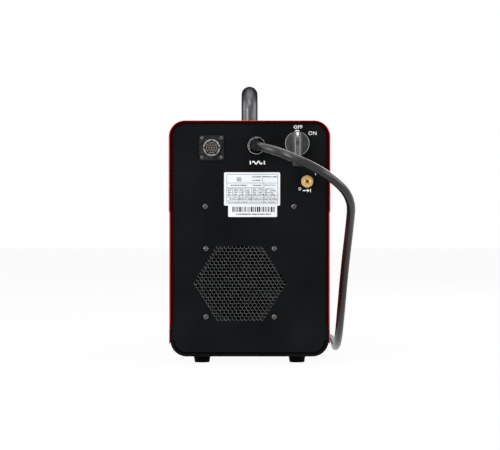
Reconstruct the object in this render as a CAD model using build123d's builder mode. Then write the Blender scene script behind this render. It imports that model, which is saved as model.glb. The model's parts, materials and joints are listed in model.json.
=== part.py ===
"""Plasma cutter unit: an inverter power source in a folded sheet-steel case.

Millimetres, +Z up. The controls face -Y and the rear panel, with the mains lead, the switch,
the air inlet and the fan grille, faces +Y. The origin is on the floor at the middle of the
box round the unit, without its mains lead. On the rear panel a place is given as (u, z): u is
to the right of the middle as seen from behind, so u = -x, and z is the height above the floor.
"""

import math
import os

from build123d import *

os.makedirs("parts", exist_ok=True)

# ------------------------------------------------------------------ driving dimensions

# Case
body_width = 248.0
body_depth = 520.0
body_top = 374.0
foot_height = 12.0
hood_sheet = 1.5
hood_corner = 25.0
hood_edge = 234.0
side_sheet = 1.2
side_inset = 1.0
lap_top = 52.0
lap_bottom = 32.0
lap_offset = 0.2
tongue_rise = 12.0
tray_sheet = 1.5
tray_corner = 25.0
tray_wall_top = 60.0
panel_sheet = 1.5
panel_flange = 10.0
lip_side = 6.4
lip_top = 4.6
lip_step = 3.0
seat_gap = 0.3
screw_gap = 0.25
reach = 26.0

# Louvres in the side panels
louvre_length = 56.0
louvre_height = 4.0
louvre_pitch = 13.0
louvre_rows = 9
louvre_columns = 3
louvre_column_pitch = 76.0
louvre_low = 84.0
louvre_blade = 1.0

# Feet
foot_top_radius = 13.5
foot_bottom_radius = 11.5
foot_u = 74.0
foot_end_inset = 48.0
foot_bore = 2.6
foot_recess = 5.0

# Handle
handle_radius = 12.9
handle_rise = 63.5
handle_half_length = 150.0
handle_bend = 32.0
handle_bolt_radius = 4.0

# Shelf
shelf_height = 230.0
shelf_sheet = 2.0
shelf_screw_u = 68.0
shelf_screw_rise = 12.0
shelf_front_inset = 60.0
standoff_height = 8.0

# Fan and its grille
fan_u = -14.5
fan_height = 125.0
fan_size = 120.0
fan_depth = 38.0
fan_spacing = 104.8
fan_bore = 57.0
fan_hub = 22.0
blade_count = 7
shaft_radius = 2.5
running_gap = 0.05
grille_half_rows = 11
grille_widest = 23
grille_pitch = 6.2
grille_row_pitch = 5.0
grille_hole = 2.3

# Mains lead and gland
cable_radius = 6.5
gland_u = 10.5
gland_drop = 39.6
gland_radius = 13.0
gland_thread = 10.0
gland_collar = 4.0
gland_mouth = 8.0
coil_pitch = 13.6
coil_inner_radius = 58.0
coil_quarters = 17
coil_u = 45.0
coil_y = -400.0
coil_tail = 50.0
floor_gap = 0.2
plug_radius = 27.0
plug_length = 46.0
plug_pin_length = 20.0
grip_length = 30.0
grip_radius = 17.0

# Mains switch
switch_u = 73.1
switch_drop = 35.5
dial_radius = 18.75
dial_height = 6.0
lever_height = 19.0
lever_width = 16.8
lever_tip = 18.2
lever_tail = 35.0
lever_tail_width = 14.0
lever_taper = 9.5
lever_slope_from = 9.8
lever_slope_drop = 6.0
lever_screw_radius = 3.0
switch_body_size = 48.0
switch_body_depth = 62.0

# Multi-pin connector
connector_u = -58.1
connector_drop = 41.8
connector_flange = 38.1
connector_flange_height = 3.0
connector_screw_pitch = 29.4
barrel_radius = 13.4
barrel_bore = 10.75
barrel_height = 8.0
key_radius = 1.1
key_angles = (90, 0, -52, -128, 180)
insert_radius = 9.1
insert_recess = 1.2
contact_pitch = 3.9
contact_row_pitch = 3.7
contact_rows = (3, 4, 4, 3)
contact_radius = 1.0
contact_hole = 1.15
connector_slots = (80, 40, 45, 5)
connector_screw_radius = 3.1

# Air line
inlet_u = 88.2
inlet_drop = 93.6
inlet_flats = 18.0
inlet_hex_height = 9.0
inlet_bevel = 35.0
inlet_stub_radius = 4.8
inlet_stub_length = 6.0
inlet_seat_radius = 3.9
inlet_bore = 1.9
inlet_thread = 6.5
hose_radius = 4.0
valve_size = 30.0
valve_depth = 46.0

# Rating plate and sticker
plate_u = 3.9
plate_drop = 105.0
plate_width = 86.0
plate_height = 51.0
plate_sheet = 0.5
sticker_u = 4.7
sticker_drop = 138.5
sticker_width = 75.0
sticker_height = 18.8
sticker_sheet = 0.15

# Power parts
sink_width = 170.0
sink_length = 180.0
sink_height = 96.0
sink_base = 8.0
sink_fin = 2.5
sink_fins = 13
sink_fan_gap = 18.0
module_height = 12.0
board_sheet = 1.6
capacitor_radius = 17.5
capacitor_height = 50.0
core_width = 110.0
core_depth = 50.0
core_height = 95.0
core_leg = 15.0
core_gap = 20.0
winding_build = 18.0
winding_gap = 0.6
choke_radius = 42.0
choke_bore = 18.0
choke_height = 36.0

# Front
fascia_width = 214.0
fascia_height = 132.0
fascia_drop = 76.0
fascia_sheet = 5.0
window_width = 66.0
window_height = 30.0
knob_radius = 17.0
knob_height = 19.0
knob_skirt = 4.0
knob_flutes = 18
knob_shaft = 3.0
button_radius = 7.0
button_travel = 1.5
gauge_radius = 20.0
gauge_height = 10.0
needle_rest = 135.0
torch_radius = 26.0
torch_bore = 8.0
torch_u = -56.0
earth_radius = 19.0
earth_bore = 6.6
socket_height = 80.0
socket_depth = 32.0

# ------------------------------------------------------------------ places worked out

half_width = body_width / 2
half_depth = body_depth / 2
tray_floor = foot_height + tray_sheet
tray_half = half_width - side_inset - side_sheet - seat_gap
panel_half = tray_half - tray_sheet - seat_gap
rear_face = half_depth - lip_step - hood_sheet - seat_gap
panel_back = rear_face - panel_sheet
side_half = half_width - side_inset
tongue_half = half_width - hood_sheet - seat_gap / 2
shelf_half = tongue_half - side_sheet - seat_gap
gland_z = body_top - gland_drop
switch_z = body_top - switch_drop
connector_z = body_top - connector_drop
inlet_z = body_top - inlet_drop
plate_z = body_top - plate_drop
sticker_z = body_top - sticker_drop
shelf_screw_z = shelf_height + shelf_screw_rise
hood_screw_z = hood_edge + tongue_rise / 2 + 1
lap_screw_z = (lap_top + lap_bottom) / 2
fascia_z = body_top - fascia_drop
rear_end = half_depth + reach
fan_front = panel_back - fan_depth
sink_rear = fan_front - sink_fan_gap
sink_front = sink_rear - sink_length
sink_top = tray_floor + sink_height
board_z = sink_top + module_height


def across(y):
    """Plane square to the case's length, facing +Y, with local x to the right from behind."""
    return Plane(origin=(0, y, 0), x_dir=(-1, 0, 0), z_dir=(0, 1, 0))


def facing_front(y):
    """Plane square to the case's length, facing -Y, with local x to the right from ahead."""
    return Plane(origin=(0, y, 0), x_dir=(1, 0, 0), z_dir=(0, -1, 0))


def beside(side, x):
    """Plane square to the case's width, facing away from the middle on the given side."""
    return Plane(origin=(side * x, 0, 0), x_dir=(0, side, 0), z_dir=(side, 0, 0))


def outline(width, bottom, top, low_corner, high_corner):
    """Section of the case, centred, with its lower and upper corners rounded."""
    with BuildSketch(mode=Mode.PRIVATE) as section:
        with Locations((0, (bottom + top) / 2)):
            Rectangle(width, top - bottom)
        if low_corner > 0:
            fillet(section.vertices().group_by(Axis.Y)[0], low_corner)
        if high_corner > 0:
            fillet(section.vertices().group_by(Axis.Y)[-1], high_corner)
    return section.sketch


def hood_outline(side_cut, top_cut):
    """The hood's outline, drawn in by a distance at its sides and its top."""
    return outline(
        body_width - 2 * side_cut, hood_edge, body_top - top_cut, 0, hood_corner - min(side_cut, top_cut)
    )


def finish(node, name):
    """Label a finished sub-part and write its STEP file."""
    node.part.label = name
    export_step(node.part, f"parts/{name}.step")
    print(f"{name}: {len(node.part.solids())} solids")


def screws(face, spots, head_radius, head_height, shank_radius, length, recess):
    """Pan-head screws: heads stand on the face and shanks run in behind it.

    recess is the number of slots across each head: 1 for slotted, 2 for a cross.
    """
    with BuildPart() as group:
        with BuildSketch(face):
            with Locations(*spots):
                Circle(head_radius)
        extrude(amount=head_height)
        axis = Axis(face.origin, face.z_dir)
        fillet(group.edges().group_by(axis)[-1], head_height * 0.7)
        with BuildSketch(face):
            with Locations(*spots):
                Circle(shank_radius)
        extrude(amount=-length)
        with BuildSketch(face.offset(head_height)):
            for turn in range(recess):
                with Locations(*spots):
                    Rectangle(head_radius * 1.3, head_radius * 0.26, rotation=45 + 90 * turn)
        extrude(amount=-head_height * 0.6, mode=Mode.SUBTRACT)
    return group


def flush_screws(face, spots, head_radius, sheet, shank_radius, length):
    """Countersunk screws whose heads lie flush in a sheet."""
    with BuildPart() as group:
        with BuildSketch(face):
            with Locations(*spots):
                Circle(head_radius)
        extrude(amount=-sheet, taper=sink_angle(head_radius, shank_radius, sheet))
        with BuildSketch(face.offset(-sheet)):
            with Locations(*spots):
                Circle(shank_radius)
        extrude(amount=-(length - sheet))
        with BuildSketch(face):
            for turn in range(2):
                with Locations(*spots):
                    Rectangle(head_radius * 1.2, head_radius * 0.26, rotation=90 * turn)
        extrude(amount=-sheet * 0.6, mode=Mode.SUBTRACT)
    return group


def sink_angle(head_radius, shank_radius, sheet):
    """Half angle of a countersink that just fits the sheet."""
    return math.degrees(math.atan2(head_radius - shank_radius, sheet))


def countersinks(face, spots, head_radius, sheet, shank_radius):
    """Solid to cut from a sheet behind a face, for flush screws with clearance all round."""
    with BuildPart() as cutter:
        with BuildSketch(face):
            with Locations(*spots):
                Circle(head_radius + screw_gap)
        extrude(amount=-sheet, taper=sink_angle(head_radius, shank_radius, sheet))
    return cutter.part


# ------------------------------------------------------------------ case

foot_spots = [
    (u, y)
    for u in (-foot_u, foot_u)
    for y in (-half_depth + foot_end_inset, half_depth - foot_end_inset)
]
hood_screw_spots = [(y, hood_screw_z) for y in (-half_depth * 0.8, 0, half_depth * 0.8)]
lap_screw_spots = [(y, lap_screw_z) for y in (-half_depth * 0.85, 0, half_depth * 0.85)]

# Base tray: a shallow U of sheet with rounded lower corners
with BuildPart() as base_tray:
    with BuildSketch(across(-half_depth + lip_step)):
        add(outline(2 * tray_half, foot_height, tray_wall_top, tray_corner, 0))
        add(
            outline(2 * (tray_half - tray_sheet), tray_floor, tray_wall_top, tray_corner - tray_sheet, 0),
            mode=Mode.SUBTRACT,
        )
    extrude(amount=body_depth - 2 * lip_step)
    with BuildSketch(Plane.XY.offset(foot_height)):
        with Locations(*foot_spots):
            Circle(foot_bore)
    extrude(amount=tray_sheet, mode=Mode.SUBTRACT)
    for side in (-1, 1):
        with BuildSketch(beside(side, tray_half)):
            with Locations(*lap_screw_spots):
                Circle(2.0 + screw_gap)
        extrude(amount=-tray_sheet, mode=Mode.SUBTRACT)
finish(base_tray, "base_tray")

# Top hood: an inverted U whose ends turn in as a stepped lip
with BuildPart() as top_hood:
    with BuildSketch(across(0)):
        add(hood_outline(0, 0))
        add(hood_outline(hood_sheet, hood_sheet), mode=Mode.SUBTRACT)
    extrude(amount=half_depth)
    with BuildSketch(across(half_depth - hood_sheet)):
        add(hood_outline(0, 0))
        add(hood_outline(lip_side / 2, lip_top / 2), mode=Mode.SUBTRACT)
    extrude(amount=hood_sheet)
    with BuildSketch(across(half_depth - hood_sheet - lip_step)):
        add(hood_outline(lip_side / 2 - hood_sheet / 2, lip_top / 2 - hood_sheet / 2))
        add(hood_outline(lip_side / 2, lip_top / 2), mode=Mode.SUBTRACT)
    extrude(amount=lip_step + hood_sheet)
    with BuildSketch(across(half_depth - hood_sheet - lip_step)):
        add(hood_outline(lip_side / 2 - hood_sheet / 2, lip_top / 2 - hood_sheet / 2))
        add(hood_outline(lip_side, lip_top), mode=Mode.SUBTRACT)
    extrude(amount=hood_sheet)
    mirror(about=Plane.XZ)
    outer_rim = [
        edge
        for edge in top_hood.edges()
        if abs(abs(edge.center().Y) - half_depth) < 0.01
        and (
            abs(edge.center().X) > half_width - 0.01
            or edge.center().Z > body_top - 0.01
            or edge.geom_type == GeomType.CIRCLE
            and edge.radius > hood_corner - 0.01
        )
    ]
    fillet(outer_rim, hood_sheet * 0.7)
    for side in (-1, 1):
        spots = [(side * y, z) for y, z in hood_screw_spots]
        add(countersinks(beside(side, half_width), spots, 3.5, hood_sheet, 2.0), mode=Mode.SUBTRACT)
    with BuildSketch(Plane.XY.offset(body_top)):
        with Locations((0, -handle_half_length), (0, handle_half_length)):
            Circle(handle_bolt_radius + screw_gap)
    extrude(amount=-hood_sheet, mode=Mode.SUBTRACT)
finish(top_hood, "top_hood")


def side_panel(side):
    """Side panel: a flat sheet with a tongue under the hood, a lap over the tray and louvres."""
    sheet_high = hood_edge - seat_gap
    with BuildPart() as panel:
        with BuildSketch(across(-half_depth)):
            for outer, low, high in (
                (side_half, lap_top, sheet_high),
                (side_half + lap_offset, lap_bottom, lap_top + side_sheet),
                (tongue_half, sheet_high - side_sheet, hood_edge + tongue_rise),
            ):
                with Locations((-side * (outer - side_sheet / 2), (low + high) / 2)):
                    Rectangle(side_sheet, high - low)
        extrude(amount=body_depth)
        # the tongue stops short of the hood's own lips
        with BuildSketch(beside(side, half_width)):
            for end in (-1, 1):
                with Locations((end * half_depth, hood_edge + tongue_rise)):
                    Rectangle(2 * (lip_step + hood_sheet + seat_gap), 2 * (tongue_rise + seat_gap))
        extrude(amount=-lip_side, mode=Mode.SUBTRACT)
        # stepped lips that carry on the hood's rim, front and rear
        rim = half_width - lip_side / 2
        lip_low = tray_wall_top + seat_gap
        for width_from, width_to, y, depth in (
            (rim, side_half - lap_offset, half_depth - side_sheet, side_sheet),
            (rim, rim + side_sheet, half_depth - lip_step - side_sheet, lip_step),
            (half_width - lip_side, rim + side_sheet, half_depth - lip_step - side_sheet, side_sheet),
            (rim, side_half - lap_offset, -half_depth, side_sheet),
            (rim, rim + side_sheet, -half_depth + side_sheet, lip_step),
            (half_width - lip_side, rim + side_sheet, -half_depth + lip_step, side_sheet),
        ):
            with BuildSketch(across(y)):
                with Locations((-side * (width_from + width_to) / 2, (lip_low + sheet_high) / 2)):
                    Rectangle(width_to - width_from, sheet_high - lip_low)
            extrude(amount=depth)
        # louvres: slots with a blade that slopes in behind each
        slot_rows = [louvre_low + row * louvre_pitch for row in range(louvre_rows)]
        column_from = -(louvre_columns - 1) / 2
        slot_columns = [(column_from + column) * louvre_column_pitch for column in range(louvre_columns)]
        with BuildSketch(beside(side, side_half)):
            with Locations(*[(y, z) for y in slot_columns for z in slot_rows]):
                SlotOverall(louvre_length, louvre_height)
        extrude(amount=-side_sheet, mode=Mode.SUBTRACT)
        for y in slot_columns:
            with BuildSketch(across(y - louvre_length / 2)):
                for z in slot_rows:
                    with BuildLine():
                        Polyline(
                            (-side * (side_half - side_sheet / 2), z + louvre_height / 2),
                            (-side * (side_half - side_sheet / 2), z + louvre_height / 2 + louvre_blade * 1.6),
                            (-side * (side_half - side_sheet - 5), z - louvre_height / 2 + louvre_blade),
                            (-side * (side_half - side_sheet - 5), z - louvre_height / 2),
                            close=True,
                        )
                    make_face()
            extrude(amount=louvre_length)
        lap_spots = [(side * y, z) for y, z in lap_screw_spots]
        lap_face = beside(side, side_half + lap_offset)
        add(countersinks(lap_face, lap_spots, 3.2, side_sheet, 2.0), mode=Mode.SUBTRACT)
        with BuildSketch(beside(side, tongue_half)):
            with Locations(*[(side * y, z) for y, z in hood_screw_spots]):
                Circle(2.0 + screw_gap)
        extrude(amount=-side_sheet, mode=Mode.SUBTRACT)
    return panel


finish(side_panel(1), "side_panel_left")
finish(side_panel(-1), "side_panel_right")


def end_panel(face):
    """Blank of an end panel: a plate with a flange folded in round its edge."""
    low = tray_floor + seat_gap
    high = body_top - hood_sheet - seat_gap
    low_corner = tray_corner - tray_sheet - seat_gap
    high_corner = hood_corner - hood_sheet - seat_gap
    inner = [2 * (panel_half - panel_sheet), low + panel_sheet, high - panel_sheet]
    with BuildPart() as blank:
        with BuildSketch(face):
            add(outline(2 * panel_half, low, high, low_corner, high_corner))
        extrude(amount=-panel_sheet)
        with BuildSketch(face):
            add(outline(2 * panel_half, low, high, low_corner, high_corner))
            add(
                outline(*inner, low_corner - panel_sheet, high_corner - panel_sheet),
                mode=Mode.SUBTRACT,
            )
        extrude(amount=-panel_flange)
    return blank.part


fan_spots = [
    (fan_u + u * fan_spacing / 2, fan_height + z * fan_spacing / 2) for u in (-1, 1) for z in (-1, 1)
]
connector_spots = [
    (connector_u + u * connector_screw_pitch / 2, connector_z + z * connector_screw_pitch / 2)
    for u in (-1, 1)
    for z in (-1, 1)
]
shelf_spots = [(-shelf_screw_u, shelf_screw_z), (shelf_screw_u, shelf_screw_z)]


def grille_spots():
    """Hole centres of the hexagonal field: rows that grow to the widest and shrink again."""
    spots = []
    for row in range(-grille_half_rows, grille_half_rows + 1):
        count = grille_widest - abs(row)
        for column in range(count):
            across_row = (column - (count - 1) / 2) * grille_pitch
            spots.append((fan_u + across_row, fan_height + row * grille_row_pitch))
    return spots


# Rear panel, with every hole that its fittings need
rear_plane = across(rear_face)
rear_blank = end_panel(rear_plane)
with BuildPart() as rear_panel:
    add(rear_blank)
    with BuildSketch(rear_plane):
        with Locations((gland_u, gland_z)):
            Circle(gland_thread + screw_gap)
        with Locations((connector_u, connector_z)):
            Circle(barrel_radius - 1 + screw_gap)
        with Locations((switch_u, switch_z)):
            Circle(shaft_radius + 3)
        with Locations((inlet_u, inlet_z)):
            Circle(inlet_thread + screw_gap)
        with Locations(*connector_spots):
            Circle(1.5 + screw_gap)
        with Locations(*shelf_spots, *fan_spots):
            Circle(2.0 + screw_gap)
        with Locations(*grille_spots()):
            Circle(grille_hole)
    extrude(amount=-panel_sheet, mode=Mode.SUBTRACT)
finish(rear_panel, "rear_panel")

# Feet: tapered rubber, recessed for their screws
with BuildPart() as rubber_feet:
    foot_taper = math.degrees(math.atan2(foot_top_radius - foot_bottom_radius, foot_height))
    with BuildSketch(Plane.XY.offset(foot_height)):
        with Locations(*foot_spots):
            Circle(foot_top_radius)
    extrude(amount=-foot_height, taper=foot_taper)
    with BuildSketch(Plane.XY):
        with Locations(*foot_spots):
            Circle(foot_recess)
    extrude(amount=foot_height / 2, mode=Mode.SUBTRACT)
    with BuildSketch(Plane.XY):
        with Locations(*foot_spots):
            Circle(foot_bore)
    extrude(amount=foot_height, mode=Mode.SUBTRACT)
finish(rubber_feet, "rubber_feet")

foot_screw_face = Plane(origin=(0, 0, foot_height / 2), x_dir=(1, 0, 0), z_dir=(0, 0, -1))
foot_screws = screws(
    foot_screw_face, [(u, -y) for u, y in foot_spots], foot_recess - 0.5, 2.4, foot_bore - screw_gap, 12, 2
)
finish(foot_screws, "foot_screws")

# Handle: one bent round bar, its legs on the hood
with BuildPart() as handle_bar:
    with BuildLine() as handle_path:
        FilletPolyline(
            (0, -handle_half_length, body_top),
            (0, -handle_half_length, body_top + handle_rise - handle_radius),
            (0, handle_half_length, body_top + handle_rise - handle_radius),
            (0, handle_half_length, body_top),
            radius=handle_bend,
        )
    with BuildSketch(Plane(origin=(0, -handle_half_length, body_top), z_dir=(0, 0, 1))):
        Circle(handle_radius)
    sweep()
    with BuildSketch(Plane.XY.offset(body_top)):
        with Locations((0, -handle_half_length), (0, handle_half_length)):
            Circle(handle_bolt_radius + screw_gap)
    extrude(amount=16, mode=Mode.SUBTRACT)
finish(handle_bar, "handle_bar")

# Handle bolts: heads inside the hood, shanks up into the legs
with BuildPart() as handle_bolts:
    with BuildSketch(Plane.XY.offset(body_top - hood_sheet)):
        with Locations((0, -handle_half_length), (0, handle_half_length)):
            RegularPolygon(7.5, 6)
    extrude(amount=-5.3)
    with BuildSketch(Plane.XY.offset(body_top - hood_sheet)):
        with Locations((0, -handle_half_length), (0, handle_half_length)):
            Circle(handle_bolt_radius)
    extrude(amount=14 + hood_sheet)
finish(handle_bolts, "handle_bolts")

# Case screws
with BuildPart() as hood_screws:
    for side in (-1, 1):
        spots = [(side * y, z) for y, z in hood_screw_spots]
        add(flush_screws(beside(side, half_width), spots, 3.5, hood_sheet, 2.0, 8).part)
finish(hood_screws, "hood_screws")

with BuildPart() as side_screws:
    for side in (-1, 1):
        spots = [(side * y, z) for y, z in lap_screw_spots]
        lap_face = beside(side, side_half + lap_offset)
        add(flush_screws(lap_face, spots, 3.2, side_sheet, 2.0, 7).part)
finish(side_screws, "side_screws")

finish(screws(rear_plane, shelf_spots, 4.4, 2.8, 2.0, 10, 2), "shelf_screws")
finish(screws(rear_plane, fan_spots, 4.4, 2.8, 2.0, 24, 2), "fan_screws")

# ------------------------------------------------------------------ mains lead and gland

gland_axis = across(rear_face)
dome_length = rear_end - rear_face - gland_collar - seat_gap

# Gland body: collar on the panel, thread in through it, stub out for the dome nut
with BuildPart() as gland_body:
    with BuildSketch(gland_axis):
        with Locations((gland_u, gland_z)):
            Circle(gland_radius)
    extrude(amount=gland_collar)
    with BuildSketch(gland_axis):
        with Locations((gland_u, gland_z)):
            Circle(gland_thread)
    extrude(amount=-panel_sheet - 10)
    with BuildSketch(gland_axis.offset(gland_collar)):
        with Locations((gland_u, gland_z)):
            Circle(gland_thread - 1)
    extrude(amount=8)
    with BuildSketch(gland_axis.offset(gland_collar + 8)):
        with Locations((gland_u, gland_z)):
            Circle(cable_radius + 0.5)
    extrude(amount=-30, mode=Mode.SUBTRACT)
finish(gland_body, "gland_body")

# Dome nut: tapered strain relief with grip flats at its root and a rounded nose
with BuildPart() as gland_dome_nut:
    with BuildSketch(gland_axis.offset(gland_collar + seat_gap)):
        with Locations((gland_u, gland_z)):
            Circle(gland_radius)
    extrude(amount=9)
    nose = Plane(
        origin=(-gland_u, rear_face + gland_collar + seat_gap + 9, gland_z), x_dir=(-1, 0, 0), z_dir=(0, 1, 0)
    )
    with BuildSketch(nose):
        Circle(gland_radius)
    with BuildSketch(nose.offset(dome_length - 9)):
        Circle(cable_radius + 3.4)
    loft()
    with BuildSketch(gland_axis.offset(gland_collar + seat_gap)):
        with Locations((gland_u, gland_z)):
            Circle(gland_thread - 1 + screw_gap)
    extrude(amount=8.5, mode=Mode.SUBTRACT)
    with BuildSketch(gland_axis.offset(gland_collar)):
        with Locations((gland_u, gland_z)):
            Circle(cable_radius + 0.6)
    extrude(amount=40, mode=Mode.SUBTRACT)
finish(gland_dome_nut, "gland_dome_nut")

# Seal: rubber plug inside the nut, on whose face the modelled lead begins
with BuildPart() as gland_seal:
    with BuildSketch(across(rear_end - gland_mouth)):
        with Locations((gland_u, gland_z)):
            Circle(cable_radius + 0.4)
    extrude(amount=-(dome_length + gland_collar + 6 - gland_mouth))
finish(gland_seal, "gland_seal")

with BuildPart() as gland_locknut:
    with BuildSketch(across(panel_back)):
        with Locations((gland_u, gland_z)):
            RegularPolygon(gland_radius + 1.5, 6)
            Circle(gland_thread + screw_gap, mode=Mode.SUBTRACT)
    extrude(amount=-5)
finish(gland_locknut, "gland_locknut")

# Route of the free stretch, as (u, y, z): straight out, round the corner of the case, down
# beside it to the floor and forward to the coil that lies before the front panel
coil_outer_radius = coil_inner_radius + coil_pitch * coil_quarters / 8
coil_start_u = coil_u + coil_outer_radius
lay_z = cable_radius + floor_gap
lead_route = [
    (gland_u, rear_end - gland_mouth, gland_z),
    (gland_u, rear_end + 56, gland_z),
    (52.5, rear_end + 98, 315.4),
    (111.5, rear_end + 98, 295.8),
    (152.5, rear_end + 54, 263.0),
    (152.5, 272.0, 217.0),
    (149.0, 216.0, 153.0),
    (146.0, 162.0, 82.0),
    (145.0, 90.0, 24.0),
    (145.0, 4.0, lay_z),
    (149.0, -92.0, lay_z),
    (151.0, -190.0, lay_z),
    (145.0, -278.0, lay_z),
    (coil_start_u, -338.0, lay_z),
    (coil_start_u, coil_y + 2 * cable_radius, lay_z),
]


def lead_radii(points):
    """Radius for each corner of a route: 0.45 of its shorter run over the tangent of half its turn."""
    radii = []
    for before, here, after in zip(points, points[1:], points[2:]):
        run_in = Vector(*here) - Vector(*before)
        run_out = Vector(*after) - Vector(*here)
        half_turn = math.radians(run_in.get_angle(run_out)) / 2
        shorter = min(run_in.length, run_out.length)
        radii.append(0.45 * shorter / math.tan(half_turn))
    return radii


lead_points = [(-u, y, z) for u, y, z in lead_route]
radii = lead_radii(lead_points)
runs = [(Vector(*b) - Vector(*a)).length for a, b in zip(lead_points, lead_points[1:])]
print("lead runs:", [round(run) for run in runs])
print("lead radii:", [round(radius) for radius in radii])

with BuildPart() as mains_cable:
    with BuildLine() as lead_path:
        FilletPolyline(*lead_points, radius=radii)
    with BuildSketch(across(lead_points[0][1])):
        with Locations((gland_u, gland_z)):
            Circle(cable_radius)
    sweep()
lead_length = lead_path.wires()[0].length
section_area = math.pi * cable_radius**2
print("lead length:", round(lead_length), "volume share:", mains_cable.part.volume / section_area / lead_length)
finish(mains_cable, "mains_cable")


# Coil: one tube that spirals in on the floor, climbs where it turns back, and spirals out on top
def coil_point(quarters):
    """Place on the coil's centreline after a number of quarter turns."""
    middle = coil_quarters / 2
    radius = coil_inner_radius + coil_pitch * abs(quarters - middle) / 4
    climb = min(max((quarters - middle + 1) / 2, 0), 1)
    angle = -quarters * math.pi / 2
    u = coil_u + radius * math.cos(angle)
    y = coil_y + radius * math.sin(angle)
    return Vector(-u, y, lay_z + coil_pitch * climb * climb * (3 - 2 * climb))


def coil_heading(quarters):
    """Direction of the coil's centreline, from points just before and after."""
    step = 0.01
    return (coil_point(quarters + step) - coil_point(quarters - step)).normalized()


def biarc(start, start_heading, end, end_heading):
    """Two tangent arcs, as a list, from one place and heading to another."""
    span = end - start
    both = start_heading + end_heading
    bend = 2 * (1 - start_heading.dot(end_heading))
    along = span.dot(both)
    if bend < 1e-6:
        reach_out = span.dot(span) / (2 * along)
    else:
        reach_out = (math.sqrt(along**2 + bend * span.dot(span)) - along) / bend
    joint = (start + start_heading * reach_out + end - end_heading * reach_out) / 2
    first = TangentArc(start, joint, tangent=start_heading, mode=Mode.PRIVATE)
    second = TangentArc(joint, end, tangent=first % 1, mode=Mode.PRIVATE)
    return [first, second]


coil_joints = [coil_point(quarters) for quarters in range(coil_quarters + 1)]
coil_headings = [coil_heading(quarters) for quarters in range(coil_quarters + 1)]
coil_headings[0] = Vector(0, -1, 0)
coil_headings[-1] = Vector(1, 0, 0)
end_straight = 2 * cable_radius
coil_entry = coil_joints[0] - coil_headings[0] * end_straight
tail_start = coil_joints[-1] + coil_headings[-1] * end_straight
tail_end = Vector(tail_start.X + coil_tail, tail_start.Y, plug_radius + floor_gap)
lead_end = tail_end + coil_headings[-1] * end_straight

with BuildPart() as mains_cable_coil:
    with BuildLine() as coil_path:
        Line(coil_entry, coil_joints[0])
        for n in range(coil_quarters):
            add(biarc(coil_joints[n], coil_headings[n], coil_joints[n + 1], coil_headings[n + 1]))
        Line(coil_joints[-1], tail_start)
        add(biarc(tail_start, coil_headings[-1], tail_end, coil_headings[-1]))
        Line(tail_end, lead_end)
    with BuildSketch(Plane(coil_entry, x_dir=(1, 0, 0), z_dir=(0, -1, 0))):
        Circle(cable_radius)
    sweep()
coil_wire = coil_path.wires()[0]
print("coil length:", round(coil_wire.length), "whole lead:", round(coil_wire.length + lead_length))
print("coil volume share:", mains_cable_coil.part.volume / section_area / coil_wire.length)
coil_samples = 700
coil_steps = [coil_wire.position_at(n / coil_samples) for n in range(coil_samples + 1)]
clear_steps = round(6 * cable_radius / coil_wire.length * coil_samples)
coil_gap = min(
    (there - here).length - 2 * cable_radius
    for n, here in enumerate(coil_steps)
    for there in coil_steps[n + clear_steps :]
)
print("least gap of the coil to itself:", round(coil_gap, 2))
finish(mains_cable_coil, "mains_cable_coil")

# Plug: grip nut round the end of the lead, body with an open face, four flat pins
plug_axis = Plane(lead_end, x_dir=(0, 1, 0), z_dir=(1, 0, 0))
grip_start = plug_axis.offset(-gland_mouth)
plug_face = grip_start.offset(grip_length + plug_length)

with BuildPart() as plug_grip_nut:
    with BuildSketch(grip_start):
        Circle(grip_radius - 5)
    with BuildSketch(grip_start.offset(grip_length - 12)):
        Circle(grip_radius)
    loft()
    with BuildSketch(grip_start.offset(grip_length - 12)):
        Circle(grip_radius)
    extrude(amount=12)
    with BuildSketch(grip_start):
        Circle(cable_radius + 0.4)
    extrude(amount=gland_mouth, mode=Mode.SUBTRACT)
finish(plug_grip_nut, "plug_grip_nut")

with BuildPart() as plug_body:
    with BuildSketch(grip_start.offset(grip_length)):
        Circle(grip_radius + 3)
    with BuildSketch(grip_start.offset(grip_length + plug_length / 3)):
        Circle(plug_radius)
    loft()
    with BuildSketch(grip_start.offset(grip_length + plug_length / 3)):
        Circle(plug_radius)
    extrude(amount=plug_length * 2 / 3)
    fillet(plug_body.edges().group_by(Axis.X)[-1], 2)
finish(plug_body, "plug_body")

with BuildPart() as plug_pins:
    with BuildSketch(plug_face):
        with PolarLocations(plug_radius * 0.56, 4):
            Rectangle(2.6, 8)
    extrude(amount=plug_pin_length)
    fillet(plug_pins.edges().group_by(Axis.X)[-1], 0.8)
finish(plug_pins, "plug_pins")

# ------------------------------------------------------------------ rear fittings

# Switch body: block behind the panel with a bore for the lever's shaft
with BuildPart() as switch_body:
    with BuildSketch(across(panel_back)):
        with Locations((switch_u, switch_z)):
            Rectangle(switch_body_size, switch_body_size)
    extrude(amount=-switch_body_depth)
    fillet(switch_body.edges().filter_by(Axis.Y), 3)
    with BuildSketch(across(panel_back)):
        with Locations((switch_u, switch_z)):
            Circle(shaft_radius + running_gap)
    extrude(amount=-switch_body_depth / 2, mode=Mode.SUBTRACT)
finish(switch_body, "switch_body")

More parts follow.
